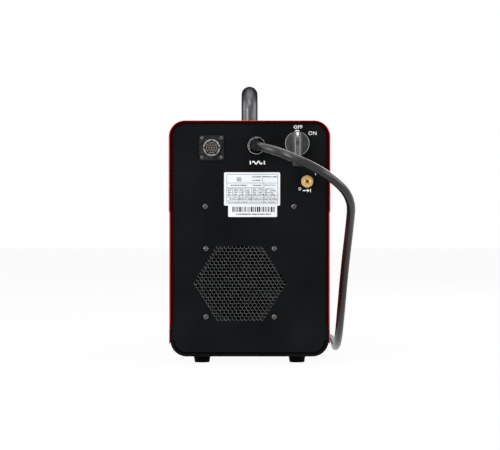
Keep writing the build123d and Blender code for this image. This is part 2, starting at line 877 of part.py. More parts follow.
# Switch lever: round dial and long bar in one moulding, on its shaft; it points up at OFF
dial_plane = Plane(origin=(-switch_u, rear_face + seat_gap, switch_z), x_dir=(-1, 0, 0), z_dir=(0, 1, 0))
lever_side = Plane(origin=dial_plane.origin, x_dir=(0, 0, 1), z_dir=(-1, 0, 0))
lever_top = dial_height + lever_height
with BuildPart() as lever_block:
    with BuildSketch(dial_plane.offset(dial_height / 2)):
        with BuildLine():
            Polyline(
                (-lever_width / 2, lever_tip + 1),
                (lever_width / 2, lever_tip + 1),
                (lever_width / 2, 0),
                (lever_tail_width / 2, -lever_tail),
                (-lever_tail_width / 2, -lever_tail),
                (-lever_width / 2, 0),
                close=True,
            )
        make_face()
    extrude(amount=lever_top - dial_height / 2, taper=lever_taper)
    # the tip follows the dial's edge, and its top slopes down to the pointer
    with BuildSketch(dial_plane):
        with Locations((0, dial_radius)):
            Rectangle(2 * dial_radius, 2 * dial_radius)
        Circle(dial_radius - 0.4, mode=Mode.SUBTRACT)
    extrude(amount=lever_top + 1, mode=Mode.SUBTRACT)
    with BuildSketch(lever_side):
        with BuildLine():
            Polyline(
                (lever_slope_from, lever_top),
                (lever_tip + 2, lever_top - lever_slope_drop),
                (lever_tip + 2, lever_top + 2),
                (lever_slope_from, lever_top + 2),
                close=True,
            )
        make_face()
    extrude(amount=lever_width, both=True, mode=Mode.SUBTRACT)
with BuildPart() as switch_lever:
    with BuildSketch(dial_plane):
        Circle(dial_radius)
    extrude(amount=dial_height)
    fillet(switch_lever.edges().group_by(Axis.Y)[-1], 1)
    add(lever_block.part)
    with BuildSketch(dial_plane.offset(lever_top)):
        Circle(lever_screw_radius + screw_gap)
    extrude(amount=-4, mode=Mode.SUBTRACT)
    with BuildSketch(dial_plane):
        Circle(shaft_radius)
    extrude(amount=-switch_body_depth / 2)
finish(switch_lever, "switch_lever")

with BuildPart() as lever_screw:
    with BuildSketch(dial_plane.offset(lever_top - 4)):
        Circle(lever_screw_radius)
    extrude(amount=2.2)
    with BuildSketch(dial_plane.offset(lever_top - 1.8)):
        Rectangle(lever_screw_radius * 1.5, 0.8)
        Rectangle(0.8, lever_screw_radius * 1.5)
    extrude(amount=-1.2, mode=Mode.SUBTRACT)
finish(lever_screw, "lever_screw")

# Multi-pin connector: square flange and keyed barrel outside, skirt in through the panel
connector_plane = Plane(
    origin=(-connector_u, rear_face, connector_z), x_dir=(-1, 0, 0), z_dir=(0, 1, 0)
)
connector_screw_places = [
    (u * connector_screw_pitch / 2, z * connector_screw_pitch / 2) for z in (1, -1) for u in (-1, 1)
]
with BuildPart() as connector_shell:
    with BuildSketch(connector_plane):
        RectangleRounded(connector_flange, connector_flange, 3)
    extrude(amount=connector_flange_height)
    with BuildSketch(connector_plane):
        Circle(barrel_radius)
    extrude(amount=barrel_height)
    fillet(connector_shell.edges().group_by(Axis.Y)[-1], 0.8)
    with BuildSketch(connector_plane):
        Circle(barrel_radius - 1)
    extrude(amount=-14)
    with BuildSketch(connector_plane.offset(barrel_height)):
        Circle(barrel_bore)
        for angle in key_angles:
            with Locations(
                (barrel_bore * math.cos(math.radians(angle)), barrel_bore * math.sin(math.radians(angle)))
            ):
                Circle(key_radius)
    extrude(amount=-barrel_height, mode=Mode.SUBTRACT)
    with BuildSketch(connector_plane):
        Circle(insert_radius + 0.1)
    extrude(amount=-14, mode=Mode.SUBTRACT)
    with BuildSketch(connector_plane.offset(connector_flange_height)):
        with Locations(*connector_screw_places):
            Circle(1.5 + screw_gap)
    extrude(amount=-connector_flange_height, mode=Mode.SUBTRACT)
finish(connector_shell, "connector_shell")

contact_spots = [
    ((column - (count - 1) / 2) * contact_pitch, (1.5 - row) * contact_row_pitch)
    for row, count in enumerate(contact_rows)
    for column in range(count)
]
insert_top = barrel_height - insert_recess
with BuildPart() as connector_insert:
    with BuildSketch(connector_plane.offset(insert_top)):
        Circle(insert_radius)
    extrude(amount=-insert_top - 14)
    fillet(connector_insert.edges().group_by(Axis.Y)[-1], 0.5)
    with BuildSketch(connector_plane.offset(insert_top)):
        with Locations(*contact_spots):
            Circle(contact_hole)
    extrude(amount=-insert_top - 14, mode=Mode.SUBTRACT)
finish(connector_insert, "connector_insert")

with BuildPart() as connector_contacts:
    with BuildSketch(connector_plane.offset(insert_top - 0.8)):
        with Locations(*contact_spots):
            Circle(contact_radius)
    extrude(amount=-insert_top - 18)
    with BuildSketch(connector_plane.offset(insert_top - 0.8)):
        with Locations(*contact_spots):
            Circle(contact_radius * 0.6)
    extrude(amount=-8, mode=Mode.SUBTRACT)
finish(connector_contacts, "connector_contacts")

with BuildPart() as connector_screws:
    with BuildSketch(connector_plane.offset(connector_flange_height)):
        with Locations(*connector_screw_places):
            Circle(connector_screw_radius)
    extrude(amount=2)
    fillet(connector_screws.edges().group_by(Axis.Y)[-1], 1.2)
    with BuildSketch(connector_plane.offset(connector_flange_height)):
        with Locations(*connector_screw_places):
            Circle(1.5)
    extrude(amount=-10)
    with BuildSketch(connector_plane.offset(connector_flange_height + 2)):
        for place, angle in zip(connector_screw_places, connector_slots):
            with Locations(place):
                Rectangle(2 * connector_screw_radius, 0.9, rotation=angle)
    extrude(amount=-1, mode=Mode.SUBTRACT)
finish(connector_screws, "connector_screws")

# Air inlet: brass hex with a stub outside, thread in through the panel, bored through
inlet_plane = Plane(origin=(-inlet_u, rear_face, inlet_z), x_dir=(-1, 0, 0), z_dir=(0, 1, 0))
inlet_tip = inlet_hex_height + inlet_stub_length
with BuildPart() as air_inlet:
    with BuildSketch(inlet_plane):
        RegularPolygon(inlet_flats / 2, 6, major_radius=False, rotation=30)
    extrude(amount=inlet_hex_height)
    with BuildSketch(inlet_plane):
        Circle(inlet_flats / 2 + 0.2 + inlet_hex_height * math.tan(math.radians(inlet_bevel)))
    extrude(amount=inlet_hex_height, taper=inlet_bevel, mode=Mode.INTERSECT)
    with BuildSketch(inlet_plane.offset(inlet_hex_height)):
        Circle(inlet_stub_radius)
    extrude(amount=inlet_stub_length)
    chamfer(air_inlet.edges().group_by(Axis.Y)[-1], 0.4)
    with BuildSketch(inlet_plane.offset(inlet_tip)):
        Circle(inlet_seat_radius)
    extrude(amount=-(inlet_seat_radius - inlet_bore), taper=45, mode=Mode.SUBTRACT)
    with BuildSketch(inlet_plane):
        Circle(inlet_thread)
    extrude(amount=-panel_sheet - 12)
    with BuildSketch(inlet_plane.offset(inlet_tip)):
        Circle(inlet_bore)
    extrude(amount=-inlet_tip - panel_sheet - 12, mode=Mode.SUBTRACT)
finish(air_inlet, "air_inlet")

with BuildPart() as air_inlet_nut:
    with BuildSketch(across(panel_back)):
        with Locations((inlet_u, inlet_z)):
            RegularPolygon(inlet_thread + 4, 6)
            Circle(inlet_thread + 0.15, mode=Mode.SUBTRACT)
    extrude(amount=-5)
finish(air_inlet_nut, "air_inlet_nut")

# Rating plate and the sticker tucked under its lower edge
with BuildPart() as rating_plate:
    with BuildSketch(rear_plane.offset(sticker_sheet)):
        with Locations((plate_u, plate_z)):
            RectangleRounded(plate_width, plate_height, 2)
    extrude(amount=plate_sheet)
finish(rating_plate, "rating_plate")

with BuildPart() as barcode_label:
    with BuildSketch(rear_plane):
        with Locations((sticker_u, sticker_z)):
            RectangleRounded(sticker_width, sticker_height, 0.8)
    extrude(amount=sticker_sheet)
finish(barcode_label, "barcode_label")

# Solenoid valve on the inlet's thread, and the hose that runs forward from it
valve_rear = panel_back - 12 - seat_gap
valve_front = valve_rear - valve_depth
with BuildPart() as solenoid_valve:
    with BuildSketch(across(valve_rear)):
        with Locations((inlet_u, inlet_z)):
            Rectangle(valve_size, valve_size)
    extrude(amount=-valve_depth)
    fillet(solenoid_valve.edges().filter_by(Axis.Y), 2)
    with BuildSketch(Plane.XY.offset(inlet_z + valve_size / 2)):
        with Locations((-inlet_u, valve_rear - valve_depth / 2)):
            Rectangle(valve_size - 4, valve_depth - 8)
    extrude(amount=18)
finish(solenoid_valve, "solenoid_valve")

# ------------------------------------------------------------------ fan

with BuildPart() as fan_frame:
    with BuildSketch(across(fan_front)):
        with Locations((fan_u, fan_height)):
            RectangleRounded(fan_size, fan_size, 4)
            Circle(fan_bore, mode=Mode.SUBTRACT)
        with Locations(*fan_spots):
            Circle(2.0 + screw_gap, mode=Mode.SUBTRACT)
    extrude(amount=fan_depth)
    with BuildSketch(across(fan_front)):
        with Locations((fan_u, fan_height)):
            Circle(fan_hub)
            for angle in (0, 120, 240):
                with PolarLocations(fan_bore / 2, 1, start_angle=angle):
                    Rectangle(fan_bore + 2, 6)
    extrude(amount=4)
    with BuildSketch(across(fan_front)):
        with Locations((fan_u, fan_height)):
            Circle(shaft_radius)
    extrude(amount=fan_depth - 6)
finish(fan_frame, "fan_frame")

with BuildPart() as fan_rotor:
    with BuildSketch(across(fan_front + 5)):
        with Locations((fan_u, fan_height)):
            Circle(fan_hub)
    extrude(amount=fan_depth - 9)
    fillet(fan_rotor.edges().group_by(Axis.Y)[-1], 2)
    with Locations(across(fan_front + fan_depth / 2)):
        with Locations((fan_u, fan_height)):
            with PolarLocations((fan_hub + fan_bore) / 2 - 1.5, blade_count):
                Box(fan_bore - fan_hub - 1, 26, 2.2, rotation=(38, 0, 0))
    with BuildSketch(across(fan_front + 5)):
        with Locations((fan_u, fan_height)):
            Circle(shaft_radius + running_gap)
    extrude(amount=fan_depth - 10, mode=Mode.SUBTRACT)
finish(fan_rotor, "fan_rotor")

# ------------------------------------------------------------------ inside

# Shelf: a plate between the side panels, turned up at its sides and at the rear panel
shelf_front = -half_depth + shelf_front_inset
shelf_rear = panel_back - seat_gap / 2
board_spots = [(x, y) for x in (-70, 70) for y in (shelf_front + 12, shelf_front + 152)]
with BuildPart() as mid_shelf:
    with BuildSketch(Plane.XY.offset(shelf_height)):
        with Locations((0, (shelf_front + shelf_rear) / 2)):
            Rectangle(2 * shelf_half, shelf_rear - shelf_front)
    extrude(amount=shelf_sheet)
    for side in (-1, 1):
        with BuildSketch(beside(side, shelf_half)):
            with Locations((side * (shelf_front + shelf_rear - panel_flange) / 2, shelf_height + 10)):
                Rectangle(shelf_rear - shelf_front - panel_flange - 4, 20)
        extrude(amount=-shelf_sheet)
        with BuildSketch(beside(side, shelf_half)):
            with Locations(*[(side * y, z) for y, z in hood_screw_spots]):
                Circle(2.0 + screw_gap)
        extrude(amount=-shelf_sheet, mode=Mode.SUBTRACT)
        # the corner that the rear panel's flange fills
        with BuildSketch(Plane.XY.offset(shelf_height)):
            with Locations((side * shelf_half, shelf_rear)):
                Rectangle(2 * (shelf_half - panel_half + panel_sheet + 1), 2 * (panel_flange + 1))
        extrude(amount=shelf_sheet, mode=Mode.SUBTRACT)
    with BuildSketch(across(shelf_rear)):
        with Locations((0, shelf_height + 11)):
            Rectangle(2 * (panel_half - panel_sheet - 2), 22)
    extrude(amount=-shelf_sheet)
    with BuildSketch(across(shelf_rear)):
        with Locations(*shelf_spots):
            Circle(2.0 + screw_gap)
        with Locations((inlet_u, shelf_height + shelf_sheet + 10)):
            Rectangle(40, 20)
    extrude(amount=-shelf_sheet, mode=Mode.SUBTRACT)
    with BuildSketch(Plane.XY.offset(shelf_height + shelf_sheet)):
        with Locations(*board_spots):
            Circle(4)
    extrude(amount=standoff_height)
finish(mid_shelf, "mid_shelf")

with BuildPart() as control_board:
    with BuildSketch(Plane.XY.offset(shelf_height + shelf_sheet + standoff_height)):
        with Locations((0, shelf_front + 82)):
            Rectangle(156, 156)
    extrude(amount=board_sheet)
    with BuildSketch(Plane.XY.offset(shelf_height + shelf_sheet + standoff_height + board_sheet)):
        with Locations((-40, shelf_front + 60), (10, shelf_front + 60), (-20, shelf_front + 120)):
            Rectangle(30, 24)
    extrude(amount=12)
finish(control_board, "control_board")

# Heat sink: base on top, fins down, the outer fins standing on the tray
with BuildPart() as heat_sink:
    with BuildSketch(across(sink_front)):
        with Locations((0, sink_top - sink_base / 2)):
            Rectangle(sink_width, sink_base)
        for fin in range(sink_fins):
            fin_u = (fin / (sink_fins - 1) - 0.5) * (sink_width - sink_fin)
            fin_low = tray_floor if fin in (0, sink_fins - 1) else tray_floor + sink_base
            with Locations((fin_u, (fin_low + sink_top - sink_base / 2) / 2)):
                Rectangle(sink_fin, sink_top - sink_base / 2 - fin_low)
    extrude(amount=sink_length)
finish(heat_sink, "heat_sink")

module_places = [(x, sink_front + sink_length * share) for x in (-45, 45) for share in (0.28, 0.72)]
with BuildPart() as power_modules:
    with BuildSketch(Plane.XY.offset(sink_top)):
        with Locations(*module_places):
            RectangleRounded(62, 34, 3)
    extrude(amount=module_height)
finish(power_modules, "power_modules")

with BuildPart() as power_board:
    with BuildSketch(Plane.XY.offset(board_z)):
        with Locations((0, (sink_front + sink_rear) / 2)):
            Rectangle(sink_width + 16, sink_length)
    extrude(amount=board_sheet)
finish(power_board, "power_board")

with BuildPart() as capacitors:
    with BuildSketch(Plane.XY.offset(board_z + board_sheet)):
        with Locations((0, (sink_front + sink_rear) / 2)):
            with GridLocations(3 * capacitor_radius, 3 * capacitor_radius, 2, 2):
                Circle(capacitor_radius)
    extrude(amount=capacitor_height)
    fillet(capacitors.edges().group_by(Axis.Z)[-1], 1.5)
finish(capacitors, "capacitors")

# Transformer: a shell core with the winding round its middle leg
core_y = sink_front - core_gap - core_depth / 2 - winding_build
window_high = core_height - 2 * core_leg
window_wide = core_width / 2 - 2 * core_leg
with BuildPart() as transformer_core:
    with BuildSketch(across(core_y - core_depth / 2)):
        with Locations((0, tray_floor + core_height / 2)):
            Rectangle(core_width, core_height)
        for side in (-1, 1):
            with Locations((side * (core_leg + window_wide / 2), tray_floor + core_height / 2)):
                Rectangle(window_wide, window_high, mode=Mode.SUBTRACT)
    extrude(amount=core_depth)
finish(transformer_core, "transformer_core")

with BuildPart() as transformer_winding:
    with BuildSketch(Plane.XY.offset(tray_floor + core_leg + winding_gap)):
        with Locations((0, core_y)):
            RectangleRounded(
                2 * (core_leg + window_wide - winding_gap), core_depth + 2 * winding_build, winding_build
            )
            Rectangle(
                2 * (core_leg + winding_gap), core_depth + 2 * winding_gap, mode=Mode.SUBTRACT
            )
    extrude(amount=window_high - 2 * winding_gap)
finish(transformer_winding, "transformer_winding")

choke_y = core_y - core_depth / 2 - winding_build - 14 - choke_radius
with BuildPart() as output_choke:
    with BuildSketch(Plane.XY.offset(tray_floor)):
        with Locations((0, choke_y)):
            Circle(choke_radius)
            Circle(choke_bore, mode=Mode.SUBTRACT)
    extrude(amount=choke_height)
    fillet(output_choke.edges().filter_by(GeomType.CIRCLE), 6)
finish(output_choke, "output_choke")

# ------------------------------------------------------------------ front

front_plane = facing_front(-rear_face)
front_back = -panel_back
knob_spot = (46.0, fascia_z - 22)
button_spot = (-4.0, fascia_z - 22)
gauge_spot = (70.0, fascia_z + 36)
regulator_spot = (-inlet_u, inlet_z)
window_spot = (-22.0, fascia_z + 30)
torch_spot = (torch_u, socket_height)
earth_spot = (-torch_u, socket_height)
front_blank = end_panel(front_plane)

with BuildPart() as front_panel:
    add(front_blank)
    with BuildSketch(front_plane):
        with Locations(knob_spot, regulator_spot):
            Circle(knob_shaft + 2)
        with Locations(button_spot):
            Circle(button_radius - 2)
        with Locations(gauge_spot):
            Circle(gauge_radius - 4)
        with Locations(window_spot):
            Rectangle(window_width - 8, window_height - 8)
        with Locations(torch_spot):
            Circle(torch_radius - 6)
        with Locations(earth_spot):
            Circle(earth_radius - 5)
    extrude(amount=-panel_sheet, mode=Mode.SUBTRACT)
finish(front_panel, "front_panel")

# Fascia: moulded plate with a raised edge that carries the controls
with BuildPart() as control_fascia:
    with BuildSketch(front_plane):
        with Locations((0, fascia_z)):
            RectangleRounded(fascia_width, fascia_height, 14)
    extrude(amount=fascia_sheet)
    fillet(control_fascia.edges().group_by(Axis.Y)[0], 2)
    with BuildSketch(front_plane.offset(fascia_sheet)):
        with Locations((0, fascia_z)):
            RectangleRounded(fascia_width - 14, fascia_height - 14, 9)
    extrude(amount=-1.5, mode=Mode.SUBTRACT)
    with BuildSketch(front_plane.offset(fascia_sheet)):
        with Locations(knob_spot, regulator_spot):
            Circle(knob_shaft + 1.5)
        with Locations(button_spot):
            Circle(button_radius + 0.4)
        with Locations(gauge_spot):
            Circle(gauge_radius + 0.3)
        with Locations(window_spot):
            Rectangle(window_width + 0.4, window_height + 0.4)
    extrude(amount=-fascia_sheet, mode=Mode.SUBTRACT)
finish(control_fascia, "control_fascia")

with BuildPart() as display_window:
    with BuildSketch(front_plane):
        with Locations(window_spot):
            Rectangle(window_width, window_height)
    extrude(amount=fascia_sheet - 2.2)
finish(display_window, "display_window")


def knob(spot, radius, height, shaft_length):
    """Fluted knob that faces the front, with its shaft in through the panel."""
    base = fascia_sheet + seat_gap
    with BuildPart() as turned:
        with BuildSketch(front_plane.offset(base)):
            with Locations(spot):
                Circle(radius)
        extrude(amount=knob_skirt)
        with BuildSketch(front_plane.offset(base + knob_skirt)):
            with Locations(spot):
                Circle(radius - 0.3)
                with PolarLocations(radius + 0.6, knob_flutes):
                    Circle(1.5, mode=Mode.SUBTRACT)
        extrude(amount=height - knob_skirt, taper=3)
        chamfer(turned.faces().sort_by(Axis.Y)[0].edges(), 0.8)
        with BuildSketch(front_plane.offset(base)):
            with Locations(spot):
                Circle(knob_shaft)
        extrude(amount=-shaft_length)
    return turned


finish(knob(knob_spot, knob_radius, knob_height, 24), "current_knob")
finish(knob(regulator_spot, knob_radius * 0.8, knob_height, 24), "regulator_knob")

# Push button: cap with a collar behind it, in its hole in the fascia
with BuildPart() as push_button:
    with BuildSketch(front_plane.offset(button_travel + 0.5)):
        with Locations(button_spot):
            Circle(button_radius)
    extrude(amount=fascia_sheet + 1.5)
    fillet(push_button.edges().group_by(Axis.Y)[0], 1)
    with BuildSketch(front_plane.offset(button_travel + 0.5)):
        with Locations(button_spot):
            Circle(button_radius - 3)
    extrude(amount=-8)
finish(push_button, "push_button")

# Display board behind the panel: carries the potentiometer, the button's switch and the digits
board_face = front_back + panel_sheet + 7
board_posts = [(-44, fascia_z - 40), (72, fascia_z - 40), (-44, fascia_z + 6), (30, fascia_z + 40)]
with BuildPart() as display_board:
    with BuildSketch(facing_front(board_face)):
        with Locations((14, fascia_z)):
            Rectangle(128, 92)
        with Locations(gauge_spot):
            Circle(gauge_radius + 2, mode=Mode.SUBTRACT)
    extrude(amount=-board_sheet)
    with BuildSketch(facing_front(board_face)):
        with Locations(knob_spot):
            Rectangle(24, 24)
    extrude(amount=6)
    with BuildSketch(facing_front(board_face)):
        with Locations(window_spot):
            Rectangle(window_width - 12, window_height - 12)
    extrude(amount=6)
    # posts that stand on the panel's back, clear of the gauge and the window
    with BuildSketch(facing_front(board_face)):
        with Locations(*board_posts):
            Circle(3)
    extrude(amount=board_face - front_back)
    with BuildSketch(facing_front(board_face + board_sheet)):
        with Locations(knob_spot):
            Circle(knob_shaft + running_gap)
        with Locations(button_spot):
            Circle(button_radius - 3 + running_gap)
    extrude(amount=20, mode=Mode.SUBTRACT)
finish(display_board, "display_board")

# Pressure gauge: case with a dial, pointer on its pin, clear lens
gauge_plane = Plane(
    origin=(gauge_spot[0], -rear_face, gauge_spot[1]), x_dir=(1, 0, 0), z_dir=(0, -1, 0)
)
with BuildPart() as gauge_case:
    with BuildSketch(gauge_plane):
        Circle(gauge_radius)
    extrude(amount=gauge_height)
    fillet(gauge_case.edges().group_by(Axis.Y)[0], 1)
    with BuildSketch(gauge_plane.offset(gauge_height)):
        Circle(gauge_radius - 2)
    extrude(amount=-5, mode=Mode.SUBTRACT)
    with BuildSketch(gauge_plane):
        Circle(gauge_radius - 4.5)
    extrude(amount=-18)
    with BuildSketch(gauge_plane.offset(gauge_height - 5)):
        Circle(0.8)
    extrude(amount=2.5)
finish(gauge_case, "gauge_case")

needle_plane = Plane(
    origin=gauge_plane.offset(gauge_height - 4.2).origin,
    x_dir=(math.cos(math.radians(needle_rest)), 0, math.sin(math.radians(needle_rest))),
    z_dir=(0, -1, 0),
)
with BuildPart() as gauge_needle:
    with BuildSketch(needle_plane):
        Circle(2)
        with BuildLine():
            Polyline(
                (-1.1, 0),
                (-0.3, gauge_radius - 5),
                (0.3, gauge_radius - 5),
                (1.1, 0),
                (1.1, -5),
                (-1.1, -5),
                close=True,
            )
        make_face()
        Circle(0.8 + running_gap, mode=Mode.SUBTRACT)
    extrude(amount=0.8)
finish(gauge_needle, "gauge_needle")

with BuildPart() as gauge_lens:
    with BuildSketch(gauge_plane.offset(gauge_height - 2)):
        Circle(gauge_radius - 2.1)
    extrude(amount=1.2)
finish(gauge_lens, "gauge_lens")

# Regulator behind the panel in line with the inlet, and the hose between it and the valve
regulator_rear = front_back + 44
with BuildPart() as regulator_body:
    with BuildSketch(facing_front(front_back)):
        with Locations(regulator_spot):
            Circle(13)
    extrude(amount=-44)
    fillet(regulator_body.edges().group_by(Axis.Y)[-1], 3)
    with BuildSketch(facing_front(front_back)):
        with Locations(regulator_spot):
            Circle(knob_shaft + running_gap)
    extrude(amount=-30, mode=Mode.SUBTRACT)
finish(regulator_body, "regulator_body")

with BuildPart() as air_hose:
    with BuildSketch(across(regulator_rear)):
        with Locations((inlet_u, inlet_z)):
            Circle(hose_radius)
            Circle(hose_radius - 1.5, mode=Mode.SUBTRACT)
    extrude(amount=valve_front - regulator_rear)
finish(air_hose, "air_hose")

# Torch socket: flanged boss with a raised ring; earth socket: bored brass boss with a key slot
with BuildPart() as torch_socket:
    with BuildSketch(front_plane):
        with Locations(torch_spot):
            Circle(torch_radius)
    extrude(amount=6)
    with BuildSketch(front_plane):
        with Locations(torch_spot):
            Circle(torch_radius - 8)
    extrude(amount=rear_end - rear_face)
    fillet(torch_socket.edges().group_by(Axis.Y)[0], 1.2)
    with BuildSketch(front_plane):
        with Locations(torch_spot):
            Circle(torch_radius - 7)
    extrude(amount=-socket_depth)
    with BuildSketch(front_plane.offset(rear_end - rear_face)):
        with Locations(torch_spot):
            Circle(torch_bore)
    extrude(amount=-(rear_end - rear_face) - 10, mode=Mode.SUBTRACT)
finish(torch_socket, "torch_socket")

with BuildPart() as earth_socket:
    with BuildSketch(front_plane):
        with Locations(earth_spot):
            Circle(earth_radius)
    extrude(amount=8)
    fillet(earth_socket.edges().group_by(Axis.Y)[0], 1.5)
    with BuildSketch(front_plane):
        with Locations(earth_spot):
            Circle(earth_radius - 6)
    extrude(amount=-socket_depth)
    with BuildSketch(front_plane.offset(8)):
        with Locations(earth_spot):
            Circle(earth_bore)
    extrude(amount=-8 - 18, mode=Mode.SUBTRACT)
finish(earth_socket, "earth_socket")
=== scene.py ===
"""Looks of the plasma cutter unit: finishes, printed marks, mains lead, plug and studio.

Metres, +Z up. The controls face -Y and the rear panel faces +Y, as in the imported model, whose
nodes stay where they are. Small pieces are drawn in millimetres on a Place: a flat frame on the
unit with its own right, up and outward directions.
"""

from __future__ import annotations

import json
import logging
import math
import random
from collections.abc import Callable, Iterable, Sequence
from dataclasses import dataclass
from enum import Enum, auto
from typing import Any

import bmesh
import bpy
from mathutils import Matrix, Vector

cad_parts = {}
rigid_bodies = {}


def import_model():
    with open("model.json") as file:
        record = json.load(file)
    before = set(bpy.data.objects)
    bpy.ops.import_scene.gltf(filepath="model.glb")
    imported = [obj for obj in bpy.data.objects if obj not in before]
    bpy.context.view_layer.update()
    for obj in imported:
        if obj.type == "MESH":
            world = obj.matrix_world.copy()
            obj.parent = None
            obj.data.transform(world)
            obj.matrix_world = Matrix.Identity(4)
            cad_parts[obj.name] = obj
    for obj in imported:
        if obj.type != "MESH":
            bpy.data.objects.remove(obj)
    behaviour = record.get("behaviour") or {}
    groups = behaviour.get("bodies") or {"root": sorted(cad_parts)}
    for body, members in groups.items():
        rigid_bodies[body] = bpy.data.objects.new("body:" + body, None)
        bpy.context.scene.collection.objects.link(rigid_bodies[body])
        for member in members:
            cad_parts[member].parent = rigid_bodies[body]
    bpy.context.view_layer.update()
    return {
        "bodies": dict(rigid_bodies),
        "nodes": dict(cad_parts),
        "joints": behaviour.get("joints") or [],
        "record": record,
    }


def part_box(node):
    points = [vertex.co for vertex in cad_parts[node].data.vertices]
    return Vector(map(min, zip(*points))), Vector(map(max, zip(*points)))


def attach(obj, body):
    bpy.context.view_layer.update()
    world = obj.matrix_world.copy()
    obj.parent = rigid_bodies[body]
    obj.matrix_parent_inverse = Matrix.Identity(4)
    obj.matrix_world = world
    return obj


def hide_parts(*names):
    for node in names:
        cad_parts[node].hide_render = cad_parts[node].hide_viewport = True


LOG = logging.getLogger("plasma_cutter_unit")
MM = 0.001
UP = Vector((0, 0, 1))
PRINT_LOW, PRINT_HIGH = -0.02, 0.06
QUARTERS = ((1, 1), (-1, 1), (-1, -1), (1, -1))
Colour = tuple[float, float, float]
Spot = tuple[float, float, float]
Point = tuple[float, float]
Operand = "Socket | float"

# ---------------------------------------------------------------- shader graph


def maths(operation: str, swapped: bool = False) -> Callable[..., Socket]:
    """Make a method of Socket that adds a Math node.

    Args:
        operation: What the node does.
        swapped: Whether the other operand comes first.

    Returns:
        The method.
    """

    def method(self: Socket, *others: Operand) -> Socket:
        """Add the node and return its result."""
        operands = (*others, self) if swapped else (self, *others)
        return self.graph.node("ShaderNodeMath", {"operation": operation}, dict(enumerate(operands)))

    return method


class Socket:
    """A node's output that takes part in Python arithmetic."""

    def __init__(self, graph: Graph, source: bpy.types.NodeSocket) -> None:
        """Hold the output and the graph that it belongs to."""
        self.graph, self.source = graph, source

    __add__, __sub__, __mul__ = maths("ADD"), maths("SUBTRACT"), maths("MULTIPLY")
    __pow__, __gt__, __rsub__ = maths("POWER"), maths("GREATER_THAN"), maths("SUBTRACT", swapped=True)
    sine, size, at_least = maths("SINE"), maths("ABSOLUTE"), maths("MAXIMUM")

    def clamped(self) -> Socket:
        """This, held between 0 and 1."""
        return self.graph.node("ShaderNodeClamp", {}, {"Value": self})


class Graph:
    """The node tree of one material or of the world."""

    def __init__(self, owner: bpy.types.Material | bpy.types.World) -> None:
        """Empty the owner's node tree."""
        owner.use_nodes = True
        self.tree = owner.node_tree
        self.tree.nodes.clear()

    def node(
        self, kind: str, settings: dict[str, Any], inputs: dict[str | int, Any], output: str | int = 0
    ) -> Socket | None:
        """Add a node.

        Args:
            kind: The node's type.
            settings: Its properties, set first.
            inputs: Values or links of its sockets, by name or index.
            output: The output that is wanted.

        Returns:
            The output as a Socket, or None from a node that has none.
        """
        made = self.tree.nodes.new(kind)
        for key, value in settings.items():
            setattr(made, key, value)
        for key, value in inputs.items():
            socket = made.inputs[key]
            if isinstance(value, Socket):
                self.tree.links.new(value.source, socket)
            else:
                socket.default_value = (*value, 1.0) if socket.type == "RGBA" else value
        return Socket(self, made.outputs[output]) if made.outputs else None

    def place(self, stretch: Spot = (1.0, 1.0, 1.0)) -> Socket:
        """Object coordinates, stretched along each axis."""
        raw = self.node("ShaderNodeTexCoord", {}, {}, "Object")
        return self.node("ShaderNodeMapping", {}, {"Vector": raw, "Scale": stretch})

    def axis(self, name: str) -> Socket:
        """One object coordinate, in metres."""
        raw = self.node("ShaderNodeTexCoord", {}, {}, "Object")
        return self.node("ShaderNodeSeparateXYZ", {}, {"Vector": raw}, name)

    def noise(self, size: float, detail: float = 2.0, stretch: Spot = (1.0, 1.0, 1.0)) -> Socket:
        """Noise from 0 to 1 whose blobs are about that size in metres."""
        coordinates = {"Vector": self.place(stretch), "Scale": 1 / size, "Detail": detail}
        return self.node("ShaderNodeTexNoise", {}, coordinates)

    def cells(self, size: float) -> Socket:
        """Distance to the nearest of many scattered points, that far apart in metres."""
        return self.node("ShaderNodeTexVoronoi", {}, {"Vector": self.place(), "Scale": 1 / size})

    def wave(self, name: str, length: float) -> Socket:
        """A wave from -1 to 1 along one axis, that long in metres."""
        return (self.axis(name) * (math.tau / length)).sine()

    def mix(self, factor: Operand, first: Any, second: Any) -> Socket:
        """Blend two colours."""
        return self.node("ShaderNodeMix", {"data_type": "RGBA"}, {0: factor, 6: first, 7: second}, 2)


# ---------------------------------------------------------------- zones of a finish

Zone = Callable[[Graph], Socket]


def beyond(centre: Point, radius: float) -> Zone:
    """Make a zone out of what is further than a radius from a line along Y, in metres.

    Args:
        centre: Where the line stands, as x and z.
        radius: The radius.

    Returns:
        The zone.
    """

    def zone(graph: Graph) -> Socket:
        """1 beyond the radius, else 0."""
        x, z = graph.axis("X") - centre[0], graph.axis("Z") - centre[1]
        return (x * x + z * z) ** 0.5 > radius

    return zone


def folded_lip(graph: Graph) -> Socket:
    """Painted shade: the inner half of the lips that the hood and side panels turn in round the end panels, coloured
    very dark as if in the end panels' shadow.

    Args:
        graph: The graph that the nodes go into.

    Returns:
        1 on it, else 0.
    """
    half_width, top, corner, seam, lip_start = 0.124, 0.374, 0.025, 0.234, 0.2535
    side_edge, hood_step, narrowing = 0.0027, 0.0010, 0.034
    x = (graph.axis("X").size() - (half_width - corner)).at_least(0.0)
    z = (graph.axis("Z") - (top - corner)).at_least(0.0)
    depth = corner - (x * x + z * z) ** 0.5
    edge = side_edge - (graph.axis("Z") > seam) * hood_step - z * narrowing
    return (depth > edge) * (graph.axis("Y").size() > lip_start)


# ---------------------------------------------------------------- finishes


class Grain(Enum):
    """Small relief that a finish carries."""

    MOULDED = auto()
    PEEL = auto()
    POWDER = auto()
    CAST = auto()
    BRUSHED = auto()
    TURNED = auto()
    WOVEN = auto()
    WOUND = auto()
    LAYERED = auto()


